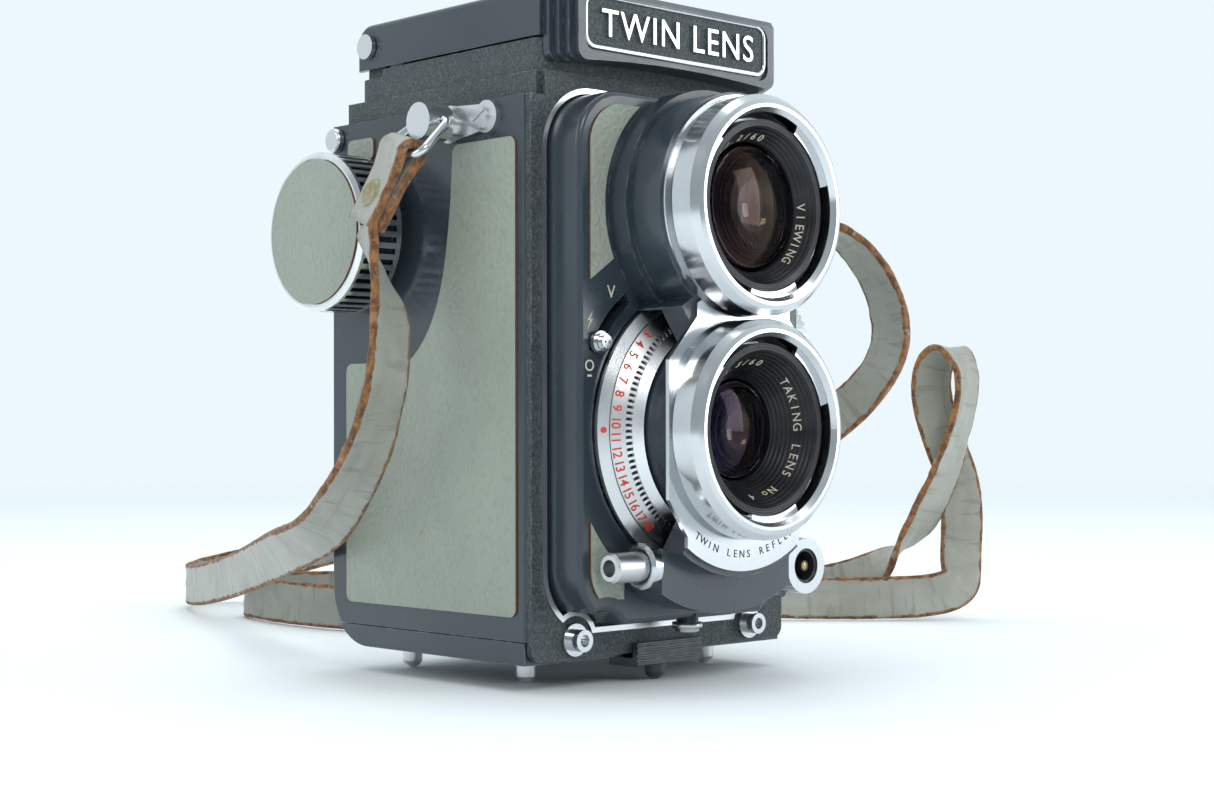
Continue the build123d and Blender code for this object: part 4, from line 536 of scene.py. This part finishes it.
def lettering_round(words, centre_z, radius, middle, y, size, tops_out, step, tilt=0.0):
    """Parts that set words along a circle; middle is the angle of the words' centre."""
    parts = []
    sign = -1 if tops_out else 1
    for index, letter in enumerate(words):
        if letter == " ":
            continue
        angle = math.radians(middle) + sign * (index - (len(words) - 1) / 2) * step / radius
        turn = angle - math.pi / 2 if tops_out else angle + math.pi / 2
        place = on_front(radius * math.cos(angle), centre_z + radius * math.sin(angle), y, turn)
        parts.append((text_mesh(letter, size, 0.06 * MM), place @ Matrix.Rotation(tilt, 4, "X")))
    return parts


# ---------------------------------------------------------------- camera, floor and light
CAMERA_PLACE = Vector((-265.6, -281.9, 46.86)) * MM
CAMERA_YAW, CAMERA_PITCH, CAMERA_ROLL = math.radians(43.53), math.radians(0.575), math.radians(-0.114)


def add_camera():
    data = bpy.data.cameras.new("camera")
    data.sensor_width = 36.0
    data.lens = 60.36
    data.clip_start = 0.01
    camera = bpy.data.objects.new("camera", data)
    ahead = Vector((math.sin(CAMERA_YAW) * math.cos(CAMERA_PITCH),
                    math.cos(CAMERA_YAW) * math.cos(CAMERA_PITCH), math.sin(CAMERA_PITCH)))
    right = Vector((math.cos(CAMERA_YAW), -math.sin(CAMERA_YAW), 0))
    up = right.cross(ahead)
    turn = Matrix((right, up, -ahead)).transposed().to_4x4()
    camera.matrix_world = Matrix.Translation(CAMERA_PLACE) @ turn @ Matrix.Rotation(CAMERA_ROLL, 4, "Z")
    bpy.context.scene.collection.objects.link(camera)
    bpy.context.scene.camera = camera


BRIGHT_SIDE = (0.69, 0.72, 0.0)       # the pale end of the room, behind the camera body
PALE, DIM = (0.84, 0.94, 0.985), (0.40, 0.45, 0.48)


def room_colour(tree, direction):
    """Colour of the surrounding room in a direction: pale on one side, dimmer on the other."""
    made = tree.nodes.new("ShaderNodeVectorMath")
    made.operation = "DOT_PRODUCT"
    tree.links.new(direction, made.inputs[0])
    made.inputs[1].default_value = BRIGHT_SIDE
    return blend_colours(tree, fade(tree, made.outputs["Value"], -0.75, 0.35), DIM, PALE)


def add_floor():
    """Large pale sheet that the camera stands on; it goes over into the room's own colour."""
    look, tree, shader = material("pale_table", 0.75, Emission_Strength=1.0, Specular_IOR_Level=0.0)
    place = object_place(tree)
    away = node(tree, "ShaderNodeVectorMath", {0: place}, operation="NORMALIZE")
    far = fade(tree, axis_distance(tree, (0, 0, 0), (1, 1, 0)), 0.35, 1.5)
    fibres = fade(tree, cloud(tree, 700, 4), 0.3, 0.7)
    sheet = blend_colours(tree, fibres, (0.93, 0.965, 0.98), (0.94, 0.97, 0.985))
    tree.links.new(blend_colours(tree, far, sheet, (0, 0, 0)), shader.inputs["Base Color"])
    glow = blend_colours(tree, far, (0, 0, 0), room_colour(tree, away))
    tree.links.new(glow, shader.inputs["Emission Color"])
    reach = 40.0
    corners = [(-reach, -reach, 0), (reach, -reach, 0), (reach, reach, 0), (-reach, reach, 0)]
    floor = new_piece("floor", corners, [(0, 1, 2, 3)], look, False)


def area_light(name, place, target, size, power, colour=(1, 1, 1), size_y=None):
    data = bpy.data.lights.new(name, "AREA")
    data.energy = power
    data.color = colour
    data.size = size
    if size_y:
        data.shape = "RECTANGLE"
        data.size_y = size_y
    lamp = bpy.data.objects.new(name, data)
    lamp.location = place
    lamp.rotation_euler = (Vector(target) - Vector(place)).to_track_quat("-Z", "Y").to_euler()
    bpy.context.scene.collection.objects.link(lamp)


def add_light():
    world = bpy.data.worlds.new("studio")
    world.use_nodes = True
    tree = world.node_tree
    direction = tree.nodes.new("ShaderNodeTexCoord").outputs["Generated"]
    tree.links.new(room_colour(tree, direction), tree.nodes["Background"].inputs["Color"])
    bpy.context.scene.world = world
    area_light("key", (-0.45, -0.95, 0.8), (0, 0, 0.06), 0.5, 4.2, (1, 0.985, 0.96), 0.35)
    area_light("window", (0.85, -0.95, 0.32), (0, 0, 0.06), 0.42, 3.2, (0.96, 0.98, 1), 0.62)
    area_light("left_panel", (-1.0, 0.25, 0.5), (0, 0, 0.06), 0.7, 2.0, (0.95, 0.98, 1), 0.5)
    area_light("top", (0.1, 0.2, 1.1), (0, 0, 0.05), 0.8, 3.6, (0.97, 0.99, 1))
    bpy.context.scene.view_settings.view_transform = "Standard"


# ---------------------------------------------------------------- strap
STRAP_W, STRAP_T = 10.0 * MM, 1.8 * MM
TAB = 15.0 * MM


def bar_middle(side):
    return Vector((side * 43.5, 4.5, 95.5)) * MM


def bar_direction(side):
    return Vector((-side * 0.25, 0.93, 0.25)).normalized()


def tab_direction(side):
    lean = Vector((-0.33, 0.2, -0.92)) if side < 0 else Vector((0.80, 0.15, -0.58))
    lean.normalize()
    bar = bar_direction(side)
    return (lean - bar * lean.dot(bar)).normalized()


def strap_start(side):
    return bar_middle(side) + tab_direction(side) * TAB


# Places of the strap's middle line in millimetres, with the direction of its width.
LEFT_RUN = [
    ((-47.4, 6.6, 74), (0.62, 0.75, 0.2)), ((-46, 4.6, 65.5), (0.97, 0.2, 0)),
    ((-46.5, 5.4, 54), (0.98, 0.15, -0.05)), ((-46, 11, 42.7), (0.95, 0.1, -0.25)),
    ((-45, 20, 33.5), (0.9, 0.05, -0.4)), ((-41, 33, 26.5), (0.85, -0.1, -0.5)),
    ((-30, 60, 22), (0.6, -0.2, -0.75)), ((-14, 92, 17), (0.3, -0.1, -0.95)),
    ((-1, 126, 11), (0.1, 0, -1)), ((9, 155, 7), (0, 0, -1)),
]
FAR_RUN = [
    ((17, 173, 6.4), (0, 0, -1)), ((27, 181, 7), (0, 0, -1)), ((37, 178, 9), (0, 0, -1)),
    ((43, 166, 12), (0, 0, -1)), ((46, 146, 17), (0, 0, -1)), ((49, 122, 20), (0, 0, -1)),
    ((58, 96, 16), (0, 0, -1)), ((76, 70, 9), (0, 0, -1)), ((92, 50, 6), (0, 0, -1)),
    ((104, 38, 5.4), (0, 0, -1)), ((116, 26, 5.4), (0, 0, -1)), ((126, 16, 6), (0.1, -0.1, -1)),
    ((132, 13, 8.6), (0.5, -0.5, -0.7)), ((135, 16, 14), (0.72, -0.68, -0.15)),
    ((136, 16, 24), (0.73, -0.68, 0)), ((135.5, 16.5, 33), (0.73, -0.68, 0)),
    ((132.5, 19.5, 44), (0.73, -0.68, 0)), ((130.5, 21.5, 54), (0.8, -0.6, 0)),
    ((130, 20, 62), (0.88, -0.45, 0)), ((131, 15.6, 65.4), (0.95, -0.2, 0)),
    ((131.8, 12, 61), (0.97, 0.1, 0)), ((131.4, 11.4, 53), (0.96, 0.2, 0)),
    ((130, 13.4, 44), (0.95, 0.1, 0.1)), ((129, 17, 33), (0.9, -0.2, 0.2)),
    ((127, 23, 21), (0.8, -0.4, 0.4)), ((124, 33, 11), (0.4, -0.2, 0.9)),
    ((118, 48, 6), (0.05, 0, 1)), ((106, 69, 5.4), (0, 0, 1)), ((90, 91, 5.4), (0, 0, 1)),
    ((71, 110, 5.4), (0, 0, 1)), ((50, 125, 5.4), (0, 0, 1)), ((32, 138, 5.4), (0, 0, 1)),
    ((22, 145, 5.4), (0, 0, 1)), ((15, 143, 5.4), (0, 0, 1)), ((11.5, 134, 5.4), (0, 0, 1)),
    ((9, 115, 5.4), (0, 0, 1)), ((11, 94, 5.4), (0, 0, 1)), ((20, 77, 5.4), (0, 0, 1)),
    ((36, 65, 7), (0, 0.1, 1)), ((52, 54, 12), (0, 0.3, 1)),
]
RIGHT_RUN = [
    ((64, 42, 21), (-0.2, 0.5, 0.8)), ((70, 28, 33), (-0.3, 0.7, 0.6)), ((75, 12, 44), (-0.3, 0.85, 0.4)),
    ((81, 0, 54), (-0.1, 0.95, 0.2)), ((85, -4, 65), (0, 1, 0)), ((83, -2.5, 77), (0.05, 1, 0.05)),
    ((76, 1, 87), (0, 1, 0.1)), ((67, 5, 91.4), (-0.1, 0.97, 0.2)),
]


ROUTE_STEPS = 16           # points worked out for each point of a route


def smooth_line(points):
    """Points read from the NURBS spline that has these points as its control points."""
    curve = bpy.data.curves.new("route", "CURVE")
    curve.dimensions = "3D"
    spline = curve.splines.new("NURBS")
    spline.points.add(len(points) - 1)
    for target, place in zip(spline.points, points):
        target.co = (*place, 1)
    spline.order_u = 3
    spline.use_endpoint_u = True
    spline.resolution_u = ROUTE_STEPS
    holder = bpy.data.objects.new("route", curve)
    bpy.context.scene.collection.objects.link(holder)
    bpy.context.view_layer.update()
    mesh = bpy.data.meshes.new_from_object(holder.evaluated_get(bpy.context.evaluated_depsgraph_get()))
    line = [v.co.copy() for v in mesh.vertices]
    bpy.data.objects.remove(holder)
    return line


SECTION = 12               # quads across each face of the strap
CORNER = STRAP_T / 2 * 0.55
SWAY, CREASE, CUP, FRAY = 0.30 * MM, 0.10 * MM, 0.22 * MM, 0.16 * MM


def ribbon(name, middle, widths, look, waviness=1.0, seed=0.0):
    """Flat leather strip along a line, with soft corners, ragged edges and slight creases."""
    vertices, faces, edge_values, flat_places = [], [], [], []
    half_w, half_t = STRAP_W / 2, STRAP_T / 2
    round_off = [(math.cos(a), math.sin(a)) for a in (math.radians(d) for d in (60, 20, -20, -60))]
    travelled = 0.0
    count = 0
    for i, place in enumerate(middle):
        ahead = middle[min(i + 1, len(middle) - 1)] - middle[max(i - 1, 0)]
        ahead.normalize()
        across = widths[i] - ahead * widths[i].dot(ahead)
        across.normalize()
        outward = ahead.cross(across)
        if i:
            travelled += (place - middle[i - 1]).length
        section = []
        for k in range(SECTION + 1):
            section.append((-1 + 2 * k / SECTION, 1.0, 0.0))
        section += [(1.0, sine, cosine) for cosine, sine in round_off]
        for k in range(SECTION + 1):
            section.append((1 - 2 * k / SECTION, -1.0, 0.0))
        section += [(-1.0, -sine, cosine) for cosine, sine in round_off]
        count = len(section)
        fit = half_w - CORNER
        for u, v, bulge in section:
            sway = noise.noise(Vector((travelled * 260 + seed, u * 2.2, v * 0.6)))
            crease = noise.noise(Vector((travelled * 900 + seed, u * 1.1, 3.7)))
            fray = noise.noise(Vector((travelled * 1500 + seed, u * 7, v * 3 + 9)))
            rim = max(abs(u) - 0.8, 0) / 0.2
            side = u * fit + math.copysign(bulge * CORNER, u) + math.copysign(fray, u) * FRAY * rim
            lift = v * half_t * (1 - 0.1 * rim)
            lift += (sway * SWAY + crease * CREASE + CUP * u * u) * waviness
            vertices.append(place + across * side + outward * lift)
            edge_values.append(min(1.0, abs(u) if bulge == 0 else 1.0 + bulge))
            flat_places.append((travelled, u * half_w))
    rows = len(middle)
    for i in range(rows - 1):
        for k in range(count):
            a, b = i * count + k, i * count + (k + 1) % count
            faces.append((a, b, b + count, a + count))
    faces.append(tuple(range(count - 1, -1, -1)))
    faces.append(tuple((rows - 1) * count + k for k in range(count)))
    piece = new_piece(name, vertices, faces, look)
    mesh = piece.data
    attribute = mesh.attributes.new("edge", "FLOAT", "POINT")
    attribute.data.foreach_set("value", edge_values)
    layer = mesh.uv_layers.new(name="strap")
    for loop in mesh.loops:
        layer.data[loop.index].uv = flat_places[loop.vertex_index]
    return piece


def strap_line(points):
    """Middle line and width directions of one stretch of the route."""
    places = [Vector(place) * MM for place, _ in points]
    reach = STRAP_W / 2
    tips = [place + Vector(width).normalized() * reach for place, (_, width) in zip(places, points)]
    middle = smooth_line(places)
    outer = smooth_line(tips)
    return middle, [(tip - place).normalized() for place, tip in zip(middle, outer)]


def as_route(side):
    """Place and width at the strap's start, in the units of the route lists."""
    return tuple(strap_start(side) / MM), tuple(bar_direction(side))


EYE = 1.9 * MM             # radius of the fold's middle line round the ring's bar
PLY = STRAP_T * 0.52       # distance of each ply's middle line from the fold's own
FOLD_STEPS = 12


def folded_end(side):
    """Line of the strap's end: up its outer ply, round the ring's bar and down the inner ply."""
    bar, middle, down = bar_direction(side), bar_middle(side), tab_direction(side)
    out = down.cross(bar)

    def on_ply(t, facing):
        """Place on a ply, t from its free end at 0 to the bar at 1, where the plies part."""
        gap = PLY + (EYE - PLY) * max(0.0, (t - 0.45) / 0.55) ** 2
        return middle + down * max(TAB * (0.98 - t), 0.0) + out * gap * facing

    line = [on_ply(step / FOLD_STEPS, -1) for step in range(FOLD_STEPS + 1)]
    for step in range(1, FOLD_STEPS):
        angle = math.pi * step / FOLD_STEPS
        line.append(middle - down * (EYE * math.sin(angle)) - out * (EYE * math.cos(angle)))
    line += [on_ply(1 - step / FOLD_STEPS, 1) for step in range(FOLD_STEPS + 1)]
    return line, [bar] * len(line)


def rivet(name, side, body):
    """Domed tubular rivet head on both faces of the folded end."""
    bar, middle, down = bar_direction(side), bar_middle(side), tab_direction(side)
    out = down.cross(bar)
    profile = [(0.0, 0.35), (0.55, 0.35), (0.8, 0.62), (1.3, 0.86), (2.0, 0.72), (2.55, 0.3), (2.65, -0.25),
               (0.0, -0.25)]
    seat = STRAP_T * 1.02
    pieces = []
    for facing, label in ((1, "outer"), (-1, "inner")):
        head = turned_piece(f"{name}_{label}", [(r * MM, -h * MM) for r, h in profile], (0, 0), PATINA, 48)
        axis = out * facing
        spin = Vector((0, -1, 0)).rotation_difference(axis).to_matrix().to_4x4()
        head.data.transform(Matrix.Translation(middle + down * 9 * MM + axis * seat) @ spin)
        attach(head, body)
        pieces.append(head)
    return pieces


def add_strap():
    start = as_route(-1)
    finish = as_route(1)
    middle, widths = strap_line([start, *LEFT_RUN, *FAR_RUN])
    long_run = ribbon("strap_long_run", middle, widths, STRAP)
    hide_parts("strap_left_run", "strap_far_run")
    join = FAR_RUN[-1]
    middle_right, widths_right = strap_line([join, *RIGHT_RUN, finish])
    short_run = ribbon("strap_short_run", middle_right, widths_right, STRAP, seed=31.0)
    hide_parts("strap_right_run")
    for side, label in ((-1, "left"), (1, "right")):
        line, across = folded_end(side)
        end = ribbon(f"strap_fold_{label}", line, across, STRAP, 0.35, 50.0 + side)
        body = f"strap_ring_{label}"
        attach(end, body)
        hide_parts(f"strap_end_{label}")
        rivet(f"strap_rivet_{label}", side, body)
    strap_start(-1) + Vector((-4, -4, 3)) * MM
    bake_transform(long_run)
    strap_start(1) + Vector((0, 0, 1)) * MM
    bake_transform(short_run)


# ---------------------------------------------------------------- lenses
CAP_STEPS = 10


def cap(radius, sag, apex, rear):
    """Half profile of a plano-convex element, from its axis out and back."""
    sphere = (radius ** 2 + sag ** 2) / (2 * sag)
    profile = []
    for i in range(CAP_STEPS + 1):
        r = radius * i / CAP_STEPS
        profile.append((r, apex + sphere - math.sqrt(sphere ** 2 - r ** 2)))
    return profile + [(radius, rear), (0.0, rear)]


BAFFLES = 5
BAFFLE_IN, BAFFLE_BACK = 0.55 * MM, 1.6 * MM


def add_lens(label, centre_z, glass_r, throat, sag, look, black):
    """Front element, a dark barrel with steps and an inner element painted dark purple as the shade inside
    the lens.
    """
    front = RING_FRONT + (2.2 + throat) * MM
    edge = (glass_r - 0.1) * MM
    apex = front - (sag - 0.9) * MM
    profile = cap(edge, sag * MM, apex, front + 4.0 * MM)
    element = turned_piece(f"{label}_front_element", profile, (0, centre_z), look)
    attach(element, "lens_panel")
    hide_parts(f"{label}_lens_glass")
    start = front + 4.4 * MM
    inner_r = (glass_r - 1.35) * MM
    profile = [(inner_r, start)]
    for step in range(BAFFLES):
        r = inner_r - step * BAFFLE_IN
        y = start + step * BAFFLE_BACK
        profile += [(r, y + 1.5 * MM), (r - BAFFLE_IN, y + BAFFLE_BACK)]
    last_r, last_y = profile[-1]
    profile += [(last_r, last_y + 1.5 * MM), (inner_r, last_y + 1.5 * MM)]
    baffle = turned_piece(f"{label}_baffle_rings", profile, (0, centre_z), black)
    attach(baffle, "lens_panel")
    middle_y = start + 5.6 * MM
    profile = cap(last_r + 0.3 * MM, 1.6 * MM, middle_y, middle_y + 3.2 * MM)
    inner = turned_piece(f"{label}_inner_element", profile, (0, centre_z), INNER_GLASS_PAINTED_DARK)
    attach(inner, "lens_panel")


def add_lens_lettering():
    """Cream captions on the inner cone of each lens mount, tops outwards."""
    tilt = math.atan2(6.4, 4.3)
    texts = {
        "viewing": (VIEW_Z, 11.9 * MM, RING_FRONT + 5.12 * MM, [("1:3.2/60", 112), ("VIEWING", -22)]),
        "taking": (TAKE_Z, 11.5 * MM, RING_FRONT + 5.74 * MM,
                   [("1:3.5/60", 112), ("TAKING LENS", 2), ("No 4", -78)]),
    }
    for label, (centre_z, radius, y, words) in texts.items():
        parts = []
        for text, middle in words:
            parts += lettering_round(text, centre_z, radius, middle, y, 2.2 * MM, True, 1.75 * MM, tilt)
        piece = joined(f"{label}_lens_engraving", parts, CREAM_PAINT, "lens_panel")


# ---------------------------------------------------------------- scales and marks
def cone_place(radius, angle, y, tilt):
    """Matrix of a glyph on the dial's cone: tops to the lens, face turned out by tilt."""
    turn = angle + math.pi / 2
    spot = on_front(radius * math.cos(angle), TAKE_Z + radius * math.sin(angle), y, turn)
    return spot @ Matrix.Rotation(tilt, 4, "X")


def add_dial_numbers(body, middle, numbers, gap):
    """Red numbers on a dial's cone, gap degrees apart, and the dot that they are read against."""
    parts = []
    slope = math.atan2(1.5, 2.2)
    for index, number in enumerate(numbers):
        angle = math.radians(middle + (index - (len(numbers) - 1) / 2) * gap)
        base_r = DIAL_R - 2.45 * MM
        base_y = FACE - (1.8 + 0.25 * 1.5 / 2.2) * MM - 0.03 * MM
        parts.append((text_mesh(str(number), 2.3 * MM, 0.08 * MM, 0.92, 0.0, 0.035 * MM),
                      cone_place(base_r, angle, base_y, slope)))
    turns = [math.tau * i / 24 for i in range(24)]
    dot = [(0.55 * MM * math.cos(a), 0.55 * MM * math.sin(a)) for a in turns]
    parts.append((flat_shape(dot, 0.12 * MM), cone_place(DIAL_R - 0.95 * MM, math.radians(middle),
                                                         FACE - 1.58 * MM, math.atan2(1.1, 1.9))))
    piece = joined(f"{body}_numbers", parts, RED_PAINT, body)


def flat_shape(outline, depth):
    """Mesh of a filled outline of (x, y) points, raised along +z."""
    count = len(outline)
    vertices = [(x, y, -depth / 2) for x, y in outline] + [(x, y, depth / 2) for x, y in outline]
    faces = [tuple(range(count - 1, -1, -1)), tuple(range(count, 2 * count))]
    faces += [(i, (i + 1) % count, count + (i + 1) % count, count + i) for i in range(count)]
    mesh = bpy.data.meshes.new("outline")
    mesh.from_pydata(vertices, [], faces)
    return mesh


def add_selector_marks():
    """V, lightning and bulb beside the selector's slot."""
    y = FACE - 0.02 * MM

    def spot(x, z):
        return on_front(x * MM, z * MM, y)

    flash = [(0.7, 1.8), (-0.6, 0.1), (0.1, 0.2), (-0.7, -1.6), (0.7, 0.4), (0.1, 0.3)]
    base = [(-0.5, -0.3), (0.5, -0.3), (0.5, 0.05), (-0.5, 0.05)]
    parts = [
        (text_mesh("V", 3.2 * MM, 0.08 * MM), spot(-20.9, 69.0)),
        (flat_shape([(x * MM, z * MM) for x, z in flash], 0.08 * MM), spot(-26.0, 64.8)),
        (text_mesh("O", 2.8 * MM, 0.08 * MM), spot(-26.1, 56.2)),
        (flat_shape([(x * MM, z * MM) for x, z in base], 0.08 * MM), spot(-26.1, 55.5)),
    ]
    piece = joined("selector_marks", parts, CREAM_PAINT, "lens_panel")


def add_nameplate():
    """Raised plain letters in the hood's field, and the bright line round it."""
    middle_z = (measure("hood_nameplate", 2) + measure("hood_nameplate", 2, True)) / 2 + 0.6 * MM
    field_y = NAMEPLATE_FRONT + 0.7 * MM
    letters = text_mesh("TWIN LENS", 7.0 * MM, 0.62 * MM, 1.12, 0.05 * MM)
    place = on_front(0, middle_z - 2.5 * MM, field_y - 0.3 * MM)
    piece = joined("nameplate_letters", [(letters, place)], CHROME, "hood_lid")
    half_w, half_h, corner, wide, tall = 23.2 * MM, 4.6 * MM, 2.2 * MM, 0.45 * MM, 0.42 * MM
    corners = [(-half_w, -half_h), (half_w, -half_h), (half_w, half_h), (-half_w, half_h)]
    field = joined("nameplate_field", [(flat_shape(corners, 0.04 * MM), on_front(0, middle_z, field_y))],
                   CRINKLE, "hood_lid")
    vertices, faces = [], []
    outline = []
    for sx, sz, begin in ((1, 1, 0), (-1, 1, 90), (-1, -1, 180), (1, -1, 270)):
        for step in range(9):
            a = math.radians(begin + 90 * step / 8)
            outline.append((sx * (half_w - corner), sz * (half_h - corner), math.cos(a), math.sin(a)))
    ring = [(-wide, 0.1 * MM), (-wide, -tall * 0.7), (-wide * 0.55, -tall), (wide * 0.55, -tall),
            (wide, -tall * 0.7), (wide, 0.1 * MM)]
    for x, z, c, s in outline:
        for offset, y in ring:
            vertices.append((x + c * (corner + offset), field_y + y, middle_z + z + s * (corner + offset)))
    for i in range(len(outline)):
        for k in range(len(ring)):
            row, next_row = i * len(ring), ((i + 1) % len(outline)) * len(ring)
            after = (k + 1) % len(ring)
            faces.append((row + k, row + after, next_row + after, next_row + k))
    rim = new_piece("nameplate_rim", vertices, faces, CHROME)
    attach(rim, "hood_lid")


def add_small_fittings():
    """Stop stud below the lens panel, and the brass contact in the flash socket."""
    stud = [(0.0, 0.0), (2.0, 0.0), (2.2, 0.25), (2.2, 0.75), (2.8, 0.8), (2.8, 1.7), (2.0, 1.75),
            (2.0, 3.6), (0.0, 3.6)]
    post = turned_piece("panel_stop_stud", [(r * MM, h * MM) for r, h in stud], (0, 0), CHROME, 48)
    upright = Matrix.Rotation(math.pi / 2, 4, "X")
    place = Matrix.Translation((0, FRONT - 6 * MM, measure("lens_panel", 2) - 2.6 * MM))
    post.data.transform(place @ upright)
    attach(post, "lens_panel")
    profile = [(0.0, -0.3), (0.62, -0.3), (0.8, -0.1), (0.8, 0.9), (0.0, 0.9)]
    pin = turned_piece("flash_contact_pin", profile, (0, 0), BRASS, 32)
    low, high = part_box("flash_socket")
    place = Matrix.Translation(((low[0] + high[0]) / 2, low[1] + 0.2 * MM, (low[2] + high[2]) / 2))
    pin.data.transform(place @ Matrix.Scale(MM, 4))
    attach(pin, "lens_panel")


def add_faceplate_words():
    """Black words round the lower edge of the faceplate, tops inwards."""
    parts = lettering_round("TWIN LENS REFLEX", TAKE_Z, 22.6 * MM, -90, PLATE_FRONT - 0.02 * MM,
                            1.9 * MM, False, 1.75 * MM)
    piece = joined("faceplate_engraving", parts, BLACK_PAINT, "lens_panel")


finish_cad_nodes()
add_camera()
add_floor()
add_light()
add_strap()
add_lens("viewing", VIEW_Z, 11.6, 3.4, 2.2, VIEW_GLASS, VIEW_BLACK)
add_lens("taking", TAKE_Z, 9.2, 7.0, 1.8, TAKE_GLASS, TAKE_BLACK)
add_dial_numbers("exposure_dial", 180, list(range(3, 19)), 6.6)
add_dial_numbers("shutter_speed_dial", 0, [500, 250, 125, 60, 30, 15, 8, 4, 2, 1], 10.5)
add_selector_marks()
add_nameplate()
add_faceplate_words()
add_lens_lettering()
add_small_fittings()
